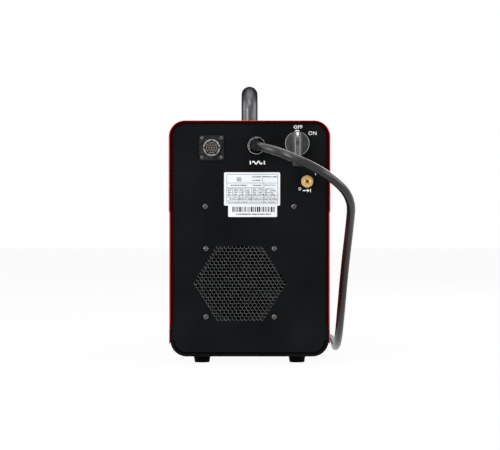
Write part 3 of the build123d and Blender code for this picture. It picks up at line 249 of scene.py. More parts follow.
@dataclass(frozen=True)
class Finish:
    """One surface finish, with sizes in metres."""

    name: str
    colour: Colour
    roughness: float = 0.5
    metallic: float = 0.0
    coat: float = 0.0
    specular: float = 0.5
    edge: float = 1.0
    grain: Grain = Grain.MOULDED
    grain_size: float = 0.0012
    grain_depth: float = 0.000012
    mottle: float = 0.12
    mottle_size: float = 0.03
    spread: float = 0.08
    alpha: float = 1.0
    zone: Zone | None = None
    zone_colour: Colour = (0.0, 0.0, 0.0)
    zone_roughness: float = 0.5
    zone_metallic: float = 0.0

    def relief(self, graph: Graph) -> Socket:
        """Height of the grain, from 0 to 1.

        Args:
            graph: The graph that the nodes go into.

        Returns:
            The height.
        """
        size = self.grain_size
        match self.grain:
            case Grain.PEEL:
                return graph.noise(size, 0.0)
            case Grain.POWDER:
                return graph.noise(size, 3.0) * 0.6 + graph.cells(size * 0.7) * 0.4
            case Grain.CAST:
                return graph.noise(size, 5.0) * 0.7 + graph.cells(size * 2) * 0.5
            case Grain.BRUSHED:
                return graph.noise(size, 3.0, (1.0, 0.04, 1.0))
            case Grain.TURNED:
                return graph.noise(size, 2.0, (0.15, 1.0, 0.15))
            case Grain.WOVEN:
                return graph.wave("X", size) * graph.wave("Y", size) * 0.5 + 0.5
            case Grain.WOUND:
                return graph.wave("Z", size) * 0.5 + 0.5
            case Grain.LAYERED:
                return graph.wave("Y", size) * 0.4 + graph.noise(size) * 0.2 + 0.4
        return graph.noise(size, 4.0)

    def material(self) -> bpy.types.Material:
        """The finish as a material, made once.

        Returns:
            The material.
        """
        title = f"{self.name}_finish"
        known = bpy.data.materials.get(title)
        if known:
            return known
        material = bpy.data.materials.new(title)
        graph = Graph(material)
        relief = self.relief(graph)
        cloud = graph.noise(self.mottle_size, 4.0)
        shade = (cloud - 0.5) * (2 * self.mottle) + (relief - 0.5) * (0.5 * self.mottle)
        darker = tuple(c * (1 - self.mottle) for c in self.colour)
        lighter = tuple(min(1.0, c * (1 + self.mottle) + 0.004 * self.mottle) for c in self.colour)
        colour = graph.mix((shade * 2 + 0.5).clamped(), darker, lighter)
        roughness = (cloud * self.spread + (self.roughness - self.spread / 2)).clamped()
        metallic: Operand = self.metallic
        coat: Operand = self.coat
        if self.zone:
            inside = self.zone(graph)
            colour = graph.mix(inside, colour, self.zone_colour)
            roughness = roughness + inside * (self.zone_roughness - self.roughness)
            metallic = inside * (self.zone_metallic - self.metallic) + self.metallic
            if self.coat:
                coat = inside * -self.coat + self.coat
        bump = {"Strength": 1.0, "Distance": self.grain_depth, "Height": relief}
        inputs = {
            "Base Color": colour,
            "Roughness": roughness,
            "Metallic": metallic,
            "Coat Weight": coat,
            "Specular IOR Level": self.specular,
            "Specular Tint": (self.edge, self.edge, self.edge),
            "Normal": graph.node("ShaderNodeBump", {}, bump),
            "Alpha": self.alpha,
        }
        shader = graph.node("ShaderNodeBsdfPrincipled", {}, inputs)
        graph.node("ShaderNodeOutputMaterial", {}, {"Surface": shader})
        return material


# a dark band in the gap under the rear panel: painted shadow
GAP_SHADOW = Finish("joint_shadow", (0.0008, 0.0008, 0.0008), 0.8, specular=0.0)
# light arcs on the fan grille's holes: painted highlights
GRILLE_HOLE_HIGHLIGHT = Finish("grille_hole_highlight", (0.12, 0.124, 0.128), 0.4, specular=0.2, mottle=0.5, mottle_size=0.006)
SEAL_RUBBER = Finish("seal_rubber", (0.004, 0.004, 0.004), 0.6, specular=0.12)
NICKEL = Finish(
    "nickel_plate", (0.60, 0.59, 0.56), 0.22, metallic=1.0, grain=Grain.TURNED, grain_size=0.0006,
    mottle=0.15, mottle_size=0.002,
)
BLACK_SCREW = Finish("black_oxide", (0.06, 0.06, 0.062), 0.35, metallic=0.8, grain=Grain.CAST)
NYLON = Finish("gland_nylon", (0.004, 0.0042, 0.0045), 0.16, specular=0.15, mottle=0.2)
# bright lines on the gland nut: painted highlights
NYLON_HIGHLIGHT = Finish("nylon_highlight", (0.42, 0.43, 0.44), 0.3, mottle=0.6, mottle_size=0.003)
# worn bright metal on the connector's barrel, and painted highlights on the switch's lever and dial
WORN_METAL_AND_HIGHLIGHT = Finish("worn_metal_and_highlight", (0.50, 0.50, 0.50), 0.35, metallic=0.7, mottle=0.35, mottle_size=0.003)
LEAD_RUBBER = Finish(
    "lead_sheath", (0.007, 0.0077, 0.0083), 0.27, specular=0.4, grain_size=0.001, grain_depth=0.000001,
    mottle=0.1, mottle_size=0.012, spread=0.02,
)
PLUG_PLASTIC = Finish(
    "plug_plastic", (0.012, 0.012, 0.0135), 0.42, specular=0.25, grain=Grain.CAST, grain_size=0.0008
)
BRASS = Finish(
    "turned_brass", (0.70, 0.47, 0.205), 0.2, metallic=1.0, grain=Grain.TURNED, grain_size=0.0008,
    mottle=0.1, mottle_size=0.003,
)
CAST_SHELL = Finish(
    "cast_shell", (0.0085, 0.0088, 0.0095), 0.42, specular=0.12, grain=Grain.CAST, grain_size=0.0012,
    grain_depth=0.0001, mottle=0.9, mottle_size=0.004,
)
# dark contacts, and rings of painted shade in the connector's holes
CONTACT_AND_HOLE_SHADE = Finish("contact_plate_and_hole_shade", (0.006, 0.0055, 0.005), 0.4, specular=0.05)
WHITE_INK = Finish("white_ink", (0.86, 0.86, 0.85), 0.5, mottle=0.06, mottle_size=0.002)
PLATE_INK = Finish("plate_ink", (0.018, 0.020, 0.023), 0.5, specular=0.1, mottle=0.3, mottle_size=0.002)
BLACK_INK = Finish("black_ink", (0.006, 0.006, 0.0065), 0.45, specular=0.1, mottle=0.2)
# a dark see-through sheet behind the fan grille: painted shade
SHADE_GAUZE = Finish("interior_shade_gauze", (0.003, 0.003, 0.003), 0.9, specular=0.0, alpha=0.62, grain=Grain.WOVEN)
GLOSS_BLACK = Finish("gloss_black", (0.005, 0.005, 0.005), 0.12, specular=0.3, mottle=0.1)
CHROME = Finish(
    "bezel_chrome", (0.62, 0.62, 0.63), 0.18, metallic=1.0, grain=Grain.TURNED, grain_size=0.0006
)
DIAL_WHITE = Finish("dial_white", (0.78, 0.78, 0.76), 0.45, mottle=0.02)
INSULATOR = Finish("socket_insulator", (0.014, 0.014, 0.015), 0.45, specular=0.2, grain=Grain.CAST)
STRAP = Finish(
    "strap_weave", (0.016, 0.016, 0.018), 0.8, specular=0.1, grain=Grain.WOVEN, grain_size=0.0016,
    grain_depth=0.0003,
)
DEAD_DIGIT = Finish("dead_digit", (0.085, 0.008, 0.006), 0.3)
LENS_GREEN = Finish("lens_green", (0.03, 0.2, 0.05), 0.15, coat=0.6)
LENS_AMBER = Finish("lens_amber", (0.45, 0.2, 0.02), 0.15, coat=0.6)
LENS_RED = Finish("lens_red", (0.35, 0.01, 0.01), 0.15, coat=0.6)

# The CAD nodes that show as they are, under the finish that they take.
CARRIED: dict[Finish, str] = {
    # red enamel; its zone paints the inner half of the lips very dark red, as painted shade
    Finish(
        "red_enamel", (0.41, 0.023, 0.025), 0.36, coat=0.1, specular=0.25, grain=Grain.PEEL,
        grain_size=0.004, mottle=0.05, zone=folded_lip, zone_colour=(0.024, 0.001, 0.001), zone_metallic=1.0,
    ): "top_hood side_panel_left side_panel_right",
    Finish(
        "black_powder_coat", (0.0036, 0.0041, 0.0047), 0.34, specular=0.04, grain=Grain.POWDER,
        grain_size=0.0014, grain_depth=0.00002, mottle=0.4, mottle_size=0.09, spread=0.2,
    ): "base_tray rear_panel front_panel",
    Finish(
        "handle_coat", (0.082, 0.083, 0.087), 0.36, metallic=1.0, edge=0.0, grain_size=0.002,
        grain_depth=0.000001, mottle=0.08, mottle_size=0.02, spread=0.02,
    ): "handle_bar",
    Finish("foot_rubber", (0.0022, 0.0022, 0.0022), 0.75, specular=0.03, mottle=0.3): "rubber_feet",
    SEAL_RUBBER: "gland_seal",
    NICKEL: "foot_screws handle_bolts",
    Finish(
        "dark_nickel_plate", (0.085, 0.085, 0.085), 0.12, metallic=1.0, grain=Grain.CAST, grain_size=0.0022,
        grain_depth=0.0007, mottle=0.4, mottle_size=0.002,
    ): "shelf_screws fan_screws lever_screw connector_screws",
    BLACK_SCREW: "hood_screws side_screws",
    NYLON: "gland_body gland_dome_nut gland_locknut",
    LEAD_RUBBER: "mains_cable mains_cable_coil",
    PLUG_PLASTIC: "plug_body plug_grip_nut",
    BRASS: "plug_pins air_inlet air_inlet_nut",
    Finish("switch_case", (0.02, 0.02, 0.02), 0.5, specular=0.2): "switch_body",
    CAST_SHELL: "connector_shell",
    Finish(
        "insert_resin", (0.115, 0.100, 0.086), 0.4, specular=0.2, mottle=0.2, mottle_size=0.004
    ): "connector_insert",
    CONTACT_AND_HOLE_SHADE: "connector_contacts",
    Finish(
        "plate_foil", (0.72, 0.76, 0.79), 0.32, specular=0.2, grain=Grain.PEEL, grain_size=0.01,
        mottle=0.04, mottle_size=0.02,
    ): "rating_plate",
    Finish("label_paper", (0.75, 0.765, 0.78), 0.4, specular=0.2, mottle=0.03): "barcode_label",
    Finish("fan_plastic", (0.004, 0.004, 0.0045), 0.5, specular=0.1): "fan_frame fan_rotor",
    Finish(
        "zinc_plate", (0.42, 0.43, 0.44), 0.38, metallic=0.9, grain=Grain.BRUSHED, mottle=0.2,
        mottle_size=0.015,
    ): "mid_shelf",
    Finish(
        "extruded_aluminium", (0.5, 0.5, 0.51), 0.35, metallic=1.0, grain=Grain.BRUSHED, grain_size=0.0008
    ): "heat_sink",
    Finish(
        "circuit_board", (0.012, 0.11, 0.045), 0.4, coat=0.3, grain=Grain.CAST, mottle=0.3, mottle_size=0.006
    ): "control_board power_board display_board",
    Finish("module_black", (0.012, 0.012, 0.012), 0.5, specular=0.2): "power_modules",
    Finish("capacitor_sleeve", (0.02, 0.035, 0.09), 0.25, mottle=0.1): "capacitors",
    Finish(
        "core_steel", (0.09, 0.09, 0.095), 0.5, metallic=0.5, grain=Grain.LAYERED, grain_size=0.001,
        grain_depth=0.0002,
    ): "transformer_core output_choke",
    Finish(
        "enamelled_copper", (0.45, 0.16, 0.05), 0.3, metallic=0.7, grain=Grain.WOUND, grain_size=0.0022,
        grain_depth=0.0006,
    ): "transformer_winding",
    Finish(
        "valve_casting", (0.42, 0.42, 0.43), 0.45, metallic=0.9, grain=Grain.CAST
    ): "solenoid_valve regulator_body",
    Finish("air_hose", (0.02, 0.07, 0.3), 0.3): "air_hose",
    Finish(
        "fascia_plastic", (0.018, 0.018, 0.020), 0.4, specular=0.25, grain=Grain.POWDER, grain_size=0.001,
        mottle=0.15,
    ): "control_fascia",
    Finish(
        "window_tint", (0.014, 0.0015, 0.0015), 0.12, coat=0.5, grain=Grain.PEEL, grain_size=0.03,
        grain_depth=0.00001,
    ): "display_window",
    Finish(
        "knob_plastic", (0.010, 0.010, 0.011), 0.35, specular=0.3, mottle=0.15
    ): "current_knob regulator_knob",
    Finish("button_cap", (0.42, 0.012, 0.012), 0.28, mottle=0.06): "push_button",
    CHROME: "gauge_case",
    Finish("needle_paint", (0.4, 0.01, 0.01), 0.4): "gauge_needle",
    Finish(
        "gauge_glass", (0.02, 0.02, 0.02), 0.04, alpha=0.06, grain=Grain.PEEL, grain_size=0.02,
        mottle=0.0, spread=0.0,
    ): "gauge_lens",
    INSULATOR: "torch_socket",
}


# ---------------------------------------------------------------- shapes


@dataclass(frozen=True)
class Place:
    """A flat frame on the unit: its origin in metres, and the directions of right and up."""

    origin: Vector
    right: Vector
    up: Vector = UP

    def matrix(self) -> Matrix:
        """Matrix from local millimetres to metres in the unit's frame."""
        turn = Matrix((self.right, self.up, self.right.cross(self.up))).transposed() * MM
        return Matrix.Translation(self.origin) @ turn.to_4x4()

    def moved(self, right: float = 0.0, up: float = 0.0, out: float = 0.0) -> Place:
        """The same frame, moved by local millimetres."""
        return Place(self.matrix() @ Vector((right, up, out)), self.right, self.up)


def rear_place(x: float, y: float, z: float) -> Place:
    """Frame that faces back, with right as seen from behind."""
    return Place(Vector((x, y, z)), Vector((-1, 0, 0)))


def front_place(x: float, y: float, z: float) -> Place:
    """Frame that faces ahead, with right as seen from ahead."""
    return Place(Vector((x, y, z)), Vector((1, 0, 0)))


def polar(centre: Point, radius: float, angle: float) -> Point:
    """Point at a distance from a centre, towards an angle in degrees."""
    turn = math.radians(angle)
    return centre[0] + radius * math.cos(turn), centre[1] + radius * math.sin(turn)


def around(centre: Point, radius: float, start: float, sweep: float, steps: int) -> list[Point]:
    """Points on an arc, angles in degrees, both ends included."""
    return [polar(centre, radius, start + sweep * n / steps) for n in range(steps + 1)]


def rounded(centre: Point, size: Point, corner: float, steps: int) -> list[Point]:
    """Outline of a rectangle, anticlockwise.

    Args:
        centre: Its middle.
        size: Its width and height.
        corner: Radius of its corners, or 0.
        steps: Straight runs that stand for the arc of a corner.

    Returns:
        The outline.
    """
    half_a, half_b = size[0] / 2 - corner, size[1] / 2 - corner
    outline: list[Point] = []
    for quarter, (a, b) in enumerate(QUARTERS):
        spot = (centre[0] + a * half_a, centre[1] + b * half_b)
        outline += around(spot, corner, 90 * quarter, 90, steps) if corner else [spot]
    return outline


def shifted(points: Sequence[Point], distance: float, closed: bool) -> list[Point]:
    """Points moved to the left of the way that they run.

    Args:
        points: The points.
        distance: How far they move.
        closed: Whether the last point leads to the first.

    Returns:
        The moved points.
    """
    last, found = len(points) - 1, []
    for n, (a, b) in enumerate(points):
        before = points[n - 1] if closed or n else points[0]
        after = points[n + 1] if n < last else points[0 if closed else last]
        run = Vector((after[0] - before[0], after[1] - before[1])).normalized() * distance
        found.append((a - run.y, b + run.x))
    return found


def flutes(count: int, depth: float, low: float, high: float, power: int = 2) -> Callable[[float, float], float]:
    """Make the ripple of a fluted grip.

    Args:
        count: How many flutes there are.
        depth: How deep they are.
        low: Height where they start.
        high: Height where they end.
        power: How narrow they are.

    Returns:
        The extra radius at an angle in degrees and a height.
    """

    def ripple(angle: float, height: float) -> float:
        """Extra radius there."""
        wave = max(0.0, math.cos(math.radians(count * angle))) ** power
        return -depth * wave if low < height < high else 0.0

    return ripple


class Shape:
    """A mesh in the making, in the millimetres of a Place; flat forms reach from low to high."""

    def __init__(self, place: Place, low: float = PRINT_LOW, high: float = PRINT_HIGH) -> None:
        """Start an empty mesh on the place."""
        self.place, self.low, self.high = place, low, high
        self.mesh = bmesh.new()

    def between(self, low: float, high: float) -> Shape:
        """Change where the next flat forms start and end, outward from the place."""
        self.low, self.high = low, high
        return self

    def corners(self, points: Sequence[Point], height: float) -> list[bmesh.types.BMVert]:
        """Add points of the mesh at a height."""
        return [self.mesh.verts.new((a, b, height)) for a, b in points]

    def prism(self, outline: Sequence[Point]) -> Shape:
        """Add a closed prism.

        Args:
            outline: Its corners in order.

        Returns:
            This shape.
        """
        foot, top = self.corners(outline, self.low), self.corners(outline, self.high)
        self.mesh.faces.new(foot[::-1])
        self.mesh.faces.new(top)
        for n, corner in enumerate(foot):
            after = (n + 1) % len(foot)
            self.mesh.faces.new((corner, foot[after], top[after], top[n]))
        return self

    def slab(self, centre: Point, size: Point, turn: float = 0.0, corner: float = 0.0) -> Shape:
        """Add a rectangular slab, turned by degrees, with rounded corners if a radius is given."""
        c, s = polar((0.0, 0.0), 1.0, turn)
        local = rounded((0.0, 0.0), size, corner, 4)
        return self.prism([(centre[0] + a * c - b * s, centre[1] + a * s + b * c) for a, b in local])

    def bars(self, *rows: tuple[float, float, float, float]) -> Shape:
        """Add plain slabs, each given by the two numbers of its middle and its width and height."""
        for a, b, width, height in rows:
            self.slab((a, b), (width, height))
        return self

    def ring(
        self, centre: Point, inner: float, outer: float, start: float = 0.0, sweep: float = 360.0,
        steps: int = 48,
    ) -> Shape:
        """Add a flat ring, or a part of one that is a closed prism.

        Args:
            centre: Its middle.
            inner: Inner radius.
            outer: Outer radius.
            start: First angle in degrees.
            sweep: Angle that it covers.
            steps: Straight runs that stand for the arc.

        Returns:
            This shape.
        """
        if sweep >= 360:
            profile = [(inner, self.low), (outer, self.low), (outer, self.high), (inner, self.high)]
            return self.turned(profile, centre, steps, closed=True)
        arcs = [around(centre, radius, start, sweep, steps) for radius in (outer, inner)]
        return self.prism(arcs[0] + arcs[1][::-1])

    def turned(
        self, profile: Sequence[Point], centre: Point = (0.0, 0.0), steps: int = 48, closed: bool = False,
        ripple: Callable[[float, float], float] | None = None,
    ) -> Shape:
        """Add a turned form.

        Args:
            profile: (radius, height) pairs; a radius of 0 closes an end.
            centre: Its axis.
            steps: Straight runs that stand for the circle.
            closed: Whether the last pair joins the first.
            ripple: Extra radius at an angle in degrees and a height.

        Returns:
            This shape.
        """
        rings = []
        for radius, height in profile:
            if not radius:
                rings.append(self.corners([centre], height))
                continue
            angles = [360 * n / steps for n in range(steps)]
            reaches = [radius + (ripple(angle, height) if ripple else 0.0) for angle in angles]
            points = [polar(centre, reach, angle) for reach, angle in zip(reaches, angles)]
            rings.append(self.corners(points, height))
        for low, high in list(zip(rings, rings[1:])) + ([(rings[-1], rings[0])] if closed else []):
            for n in range(steps):
                after = (n + 1) % steps
                ends = [(low, n), (low, after), (high, after), (high, n)]
                unique = list(dict.fromkeys(loop[k % len(loop)] for loop, k in ends))
                if len(unique) > 2:
                    self.mesh.faces.new(unique)
        return self

    def stroke(self, points: Sequence[Point], width: float) -> Shape:
        """Add a line of even width along the points."""
        right, left = shifted(points, -width / 2, False), shifted(points, width / 2, False)
        return self.prism(right + left[::-1])

    def band(self, outline: Sequence[Point], thickness: float) -> Shape:
        """Add a closed band that goes round an outline.

        Args:
            outline: The outline of its outer side, anticlockwise.
            thickness: How thick it is.

        Returns:
            This shape.
        """
        inner = shifted(outline, thickness, True)
        sides = ((outline, self.low), (outline, self.high), (inner, self.high), (inner, self.low))
        loops = [self.corners(path, height) for path, height in sides]
        for loop, following in zip(loops, loops[1:] + loops[:1]):
            for n in range(len(outline)):
                after = (n + 1) % len(outline)
                self.mesh.faces.new((loop[n], loop[after], following[after], following[n]))
        return self

    def words(self, text: str, centre: Point, height: float, weight: float, spacing: float = 1.0) -> Shape:
        """Add lettering.

        Args:
            text: What it says.
            centre: Its middle.
            height: Height of its capitals.
            weight: How much the strokes are thickened, as a share of the type size.
            spacing: Distance between letters, where 1 is the type's own.

        Returns:
            This shape.
        """
        curve = bpy.data.curves.new("lettering", "FONT")
        curve.body, curve.offset, curve.extrude, curve.space_character = text, weight, 0.5, spacing
        holder = bpy.data.objects.new("lettering", curve)
        mesh = bpy.data.meshes.new_from_object(holder)
        corners = [v.co for v in mesh.vertices]
        lowest = Vector([min(c[k] for c in corners) for k in range(3)])
        highest = Vector([max(c[k] for c in corners) for k in range(3)])
        scale = height / (highest.y - lowest.y)
        middle = (lowest + highest) / 2
        for vertex in mesh.vertices:
            a, b, c = vertex.co
            share = (c - lowest.z) / (highest.z - lowest.z)
            across, up = centre[0] + (a - middle.x) * scale, centre[1] + (b - middle.y) * scale
            vertex.co = (across, up, self.low + share * (self.high - self.low))
        self.mesh.from_mesh(mesh)
        bpy.data.objects.remove(holder)
        bpy.data.curves.remove(curve)
        bpy.data.meshes.remove(mesh)
        return self

    def piece(
        self, name: str, finish: Finish, slot: str, body: str = "case", replaces: Sequence[str] = (),
        bevel: float = 0.0,
    ) -> bpy.types.Object:
        """Turn the shape into a piece of the unit.

        Args:
            name: The piece's name.
            finish: What it is finished with.
            slot: A material slot's name; not used.
            body: The body that it rides on.
            replaces: CAD nodes that it stands for.
            bevel: Width of its rounded edges, in millimetres.

        Returns:
            The new object.
        """
        bmesh.ops.remove_doubles(self.mesh, verts=self.mesh.verts, dist=1e-4)
        self.mesh.transform(self.place.matrix())
        bmesh.ops.recalc_face_normals(self.mesh, faces=self.mesh.faces)
        data = bpy.data.meshes.new(name)
        self.mesh.to_mesh(data)
        self.mesh.free()
        made = linked(name, data)
        soften(made, bevel)
        settle(made, finish, body, replaces)
        return made


def linked(name: str, data: bpy.types.ID) -> bpy.types.Object:
    """Put a new object into the scene.

    Args:
        name: Its name.
        data: Its mesh, curve, light or camera.

    Returns:
        The object.
    """
    made = bpy.data.objects.new(name, data)
    bpy.context.scene.collection.objects.link(made)
    return made


def soften(made: bpy.types.Object, bevel: float) -> None:
    """Shade an object smooth up to its edges, and round those if a width in millimetres is given.

    Args:
        made: The object.
        bevel: Width of the rounding, or 0.
    """
    made.data.polygons.foreach_set("use_smooth", [True] * len(made.data.polygons))
    made.data.set_sharp_from_angle(angle=math.radians(32))
    if bevel:
        rounding = made.modifiers.new("rounded_edges", "BEVEL")
        rounding.width, rounding.segments = bevel * MM, 2
        rounding.limit_method, rounding.angle_limit = "ANGLE", math.radians(35)
        rounding.harden_normals = True


def settle(made: bpy.types.Object, finish: Finish, body: str, replaces: Sequence[str] = ()) -> None:
    """Give a piece its material, body and the nodes that it stands for.

    Args:
        made: The piece.
        finish: What it is finished with.
        body: The body that it rides on.
        replaces: CAD nodes that it stands for.
    """
    dress(made, finish)
    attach(made, body)
    if replaces:
        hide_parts(*replaces)
    LOG.info("%s: %s on %s", made.name, finish.name, body)


def dress(made: bpy.types.Object, finish: Finish) -> None:
    """Give an object one finish all over."""
    made.data.materials.clear()
    made.data.materials.append(finish.material())


def centre_of(node: str) -> Vector:
    """Middle of a CAD node's box."""
    low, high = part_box(node)
    return (low + high) / 2


# ---------------------------------------------------------------- sub-assemblies


@dataclass
class CarriedNodes:
    """The CAD nodes that show as they are, each with its finish."""

    nodes: dict[str, bpy.types.Object]
    lever_bar: float = 0.2622
    brass_core: float = 0.0125
    lever_rounding: float = 0.45

    def build(self) -> None:
        """Give each node its finish; the lever's bar and the earth socket's core have a second one, the bar's a
        lighter painted highlight.
        """
        # the top of the lever's bar is painted lighter than its dial: a painted highlight on one moulding
        lever = Finish(
            "lever_grey_and_highlight", (0.034, 0.035, 0.036), 0.42, specular=0.3, grain=Grain.CAST, grain_size=0.0014,
            grain_depth=0.00012, mottle=0.45, mottle_size=0.004, zone_colour=(0.082, 0.084, 0.088),
            zone_roughness=0.34, zone=lambda graph: graph.axis("Y") > self.lever_bar,
        )
        middle = centre_of("earth_socket")
        earth = Finish(
            "socket_brass", BRASS.colour, 0.26, metallic=1.0, grain=Grain.TURNED, grain_size=0.001,
            mottle=0.1, zone=beyond((middle.x, middle.z), self.brass_core), zone_colour=INSULATOR.colour,
            zone_roughness=0.45,
        )
        for finish, names in {**CARRIED, lever: "switch_lever", earth: "earth_socket"}.items():
            for name in names.split():
                dress(self.nodes[name], finish)
        soften(self.nodes["switch_lever"], self.lever_rounding)


@dataclass
class RearMarks:
    """White printing on the rear panel: OFF and ON, and plain pictograms by the lead and the air; and a short upright
    white bar.
    """

    place: Place
    ink: float = 1.7
    tray_corner: float = 25.0
    joint_inset: float = 5.2
    joint_width: float = 2.2

    def seam(self) -> None:
        """Draw the dark painted shadow in the gap between the panel and the tray's rolled edge."""
        low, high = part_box("base_tray")
        across, up = high.x / MM - self.tray_corner, low.z / MM + self.tray_corner
        reach = self.tray_corner - self.joint_inset
        line = around((-across, up), reach, 180, 90, 10) + around((across, up), reach, 270, 90, 10)
        Shape(self.place).stroke(line, self.joint_width).piece("tray_gap_shadow", GAP_SHADOW, "black_paint")

    def build(self) -> None:
        """Print the marks."""
        self.seam()
        marks = Shape(self.place)
        marks.words("OFF", (74.5, 364.2), 5.3, 0.02, 1.1).words("ON", (96.6, 354.7), 5.6, 0.0, 1.08)
        marks.ring((73.3, 355.7), 2.2, 4.2, 12, 156, 12)
        # a wave between two bars: the mains supply
        wave = [(4.4 + 0.5 * n, 309.4 + 2.2 * math.sin(0.5 * n * math.tau / 7.5)) for n in range(31)]
        marks.stroke(wave, self.ink)
        marks.bars((1.2, 309.4, self.ink, 5.6), (22.6, 309.4, self.ink, 5.6))
        # an arrow into a bar: compressed air in
        marks.bars((85.4, 266.6, 7.0, 1.2)).prism([(88.4, 263.9), (92.2, 266.6), (88.4, 269.3)])
        marks.bars((93.6, 266.6, 1.1, 5.6)).ring((77.2, 269.2), 1.5, 2.1, steps=16)
        # a short upright white bar, up and right of the air sign
        marks.bars((101.5, 291.6, 0.9, 2.4))
        marks.piece("rear_marks", WHITE_INK, "plate_foil")


@dataclass
class Labels:
    """Printing on the rating plate and the sticker: rules, dashes and bars that say nothing."""

    seed: int = 11
    rule: float = 0.5
    # left, right and distance down of the rules across the plate
    across: tuple[Spot, ...] = (
        (4.2, 82.4, 3.1), (4.2, 82.4, 16.4), (4.2, 61.0, 23.6), (4.2, 82.4, 35.6), (4.2, 82.4, 43.8),
        (4.2, 82.4, 48.2),
    )
    # place, top and bottom of the rules down the plate
    down: tuple[Spot, ...] = (
        (4.2, 3.1, 48.2), (82.4, 3.1, 48.2), (58.9, 9.2, 16.4), (13.0, 23.6, 35.6), (23.0, 23.6, 43.8),
        (33.0, 23.6, 35.6), (42.0, 23.6, 43.8), (52.0, 23.6, 35.6), (61.0, 16.4, 43.8), (70.5, 23.6, 35.6),
    )
    # left, right, distance down and height of the lines of dashes
    lines: tuple[tuple[float, float, float, float], ...] = (
        (43.5, 82.0, 6.9, 2.0), (43.5, 56.0, 12.4, 1.6), (10.4, 35.5, 19.9, 2.2), (44.6, 58.5, 19.9, 1.7),
        (62.0, 80.0, 19.7, 1.4), (6.2, 80.6, 37.9, 1.3), (8.2, 81.2, 41.0, 2.0), (6.4, 79.0, 46.0, 1.3),
    )
    columns: tuple[float, ...] = (6.0, 15.0, 24.6, 34.6, 44.0, 53.6, 62.4, 72.2)

    def corner(self, node: str) -> Place:
        """Frame on the upper left corner of a label."""
        return rear_place(*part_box(node)[1])

    def dashes(
        self, shape: Shape, left: float, right: float, middle: float, height: float, draw: random.Random
    ) -> None:
        """Fill a line with short dashes that read as small print from afar.

        Args:
            shape: The shape that they join.
            left: Where the line starts.
            right: Where it ends.
            middle: Its height on the plate.
            height: Height of the dashes.
            draw: The source of their lengths.
        """
        at = left
        while at < right - 0.4:
            run = min(draw.choice((0.45, 0.6, 0.9, 1.3)), right - at)
            shape.bars((at + run / 2, middle, run, height * draw.uniform(0.75, 1.0)))
            at += run + draw.choice((0.22, 0.28, 0.4, 0.9))

    def build(self) -> None:
        """Print the plate and the sticker."""
        draw = random.Random(self.seed)
        rules = Shape(self.corner("rating_plate"))
        for left, right, down in self.across:
            rules.bars(((left + right) / 2, -down, right - left, self.rule))
        for across, top, bottom in self.down:
            rules.bars((across, -(top + bottom) / 2, self.rule, bottom - top))
        for left, right, down, height in self.lines:
            self.dashes(rules, left, right, -down, height, draw)
        for row in range(4):
            for column in self.columns:
                self.dashes(rules, column, column + draw.uniform(4.2, 7.6), -(25.6 + 2.8 * row), 1.7, draw)
        for up in (-8.6, -10.9, -13.2):
            rules.slab((23.0, up), (7.4, 1.1), corner=0.3)
        rules.piece("plate_print", PLATE_INK, "plate_foil")
        bars = Shape(self.corner("barcode_label"))
        at, end = 6.2, 70.4
        while at < end:
            run = draw.choice((0.55, 0.7, 1.1, 1.6, 2.3))
            bars.bars((at + run / 2, -7.2, run, 8.0))
            at += run + draw.choice((0.6, 0.7, 0.9, 1.3, 1.9))
        self.dashes(bars, 12.0, 65.5, -14.6, 2.2, draw)
        bars.piece("sticker_bars", BLACK_INK, "label_paper")


@dataclass
class Gland:
    """Gland nut with a sharp bright rim and short bright ticks at its upper left, both painted highlights, and the
    tapered flexible sleeve round the lead.
    """

    nut_radius: float = 13.0
    nut_length: float = 21.0
    sleeve_bore: float = 6.55
    sleeve_start: float = 11.0
    sleeve_length: float = 30.0
    sleeve_root: float = 9.8
    sleeve_tip: float = 7.3
    sleeve_rings: int = 9
    grips: int = 16
    flute: float = 0.55

    def build(self) -> None:
        """Build the nut and the sleeve."""
        middle = centre_of("gland_body")
        place = rear_place(middle.x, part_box("gland_dome_nut")[0].y, middle.z)
        radius, length, bore = self.nut_radius, self.nut_length, self.sleeve_root - 1.6
        profile = [
            (bore, 0.0), (radius - 0.6, 0.0), (radius, 0.6), (radius, 2.0), (radius, 2.6), (radius, 9.0),
            (radius, length - 5.4), (radius, length - 4.8), (radius, length - 0.7), (radius - 0.35, length - 0.1),
            (radius - 0.9, length), (radius - 1.5, length - 0.5), (radius - 1.9, length - 5.0), (bore, length - 6.0),
        ]
        grip = flutes(self.grips, self.flute, 2.0, length - 5)
        nut = Shape(place).turned(profile, steps=96, closed=True, ripple=grip)
        nut.piece("gland_nut", NYLON, "gland_nylon", replaces=["gland_dome_nut"])
        # a thin bright ring on the nut's rounded end and short bright ticks at its upper left: painted highlights
        profile = [(radius - 0.45, -0.1), (radius + 0.06, -0.1), (radius + 0.06, 0.28), (radius - 0.3, 0.52)]
        rim = Shape(place.moved(out=length - 0.45)).turned(profile, steps=96, closed=True)
        rim.piece("gland_rim_highlight", NYLON_HIGHLIGHT, "gland_nylon")
        tick_highlights = Shape(place.moved(out=length - 0.2), -0.4, 0.1)
        for angle in range(84, 206, 13):
            tick_highlights.ring((0, 0), self.sleeve_root + 0.5, radius - 1.5, angle, 4.5, 2)
        tick_highlights.piece("gland_tick_highlights", NYLON_HIGHLIGHT, "gland_nylon")
        profile = [(self.sleeve_bore, 4.0), (self.sleeve_root - 1.7, 4.0)]
        for n in range(self.sleeve_rings):
            share = n / (self.sleeve_rings - 1)
            reach = self.sleeve_root + (self.sleeve_tip - self.sleeve_root) * share
            at = self.sleeve_start + (self.sleeve_length - self.sleeve_start) * share
            profile += [(reach - 0.8, at - 0.9), (reach, at - 0.5), (reach, at + 0.5), (reach - 0.8, at + 0.9)]
        profile += [(self.sleeve_bore, self.sleeve_length + 0.9)]
        sleeve = Shape(place).turned(profile, steps=64, closed=True)
        sleeve.piece("gland_sleeve", SEAL_RUBBER, "seal_rubber")


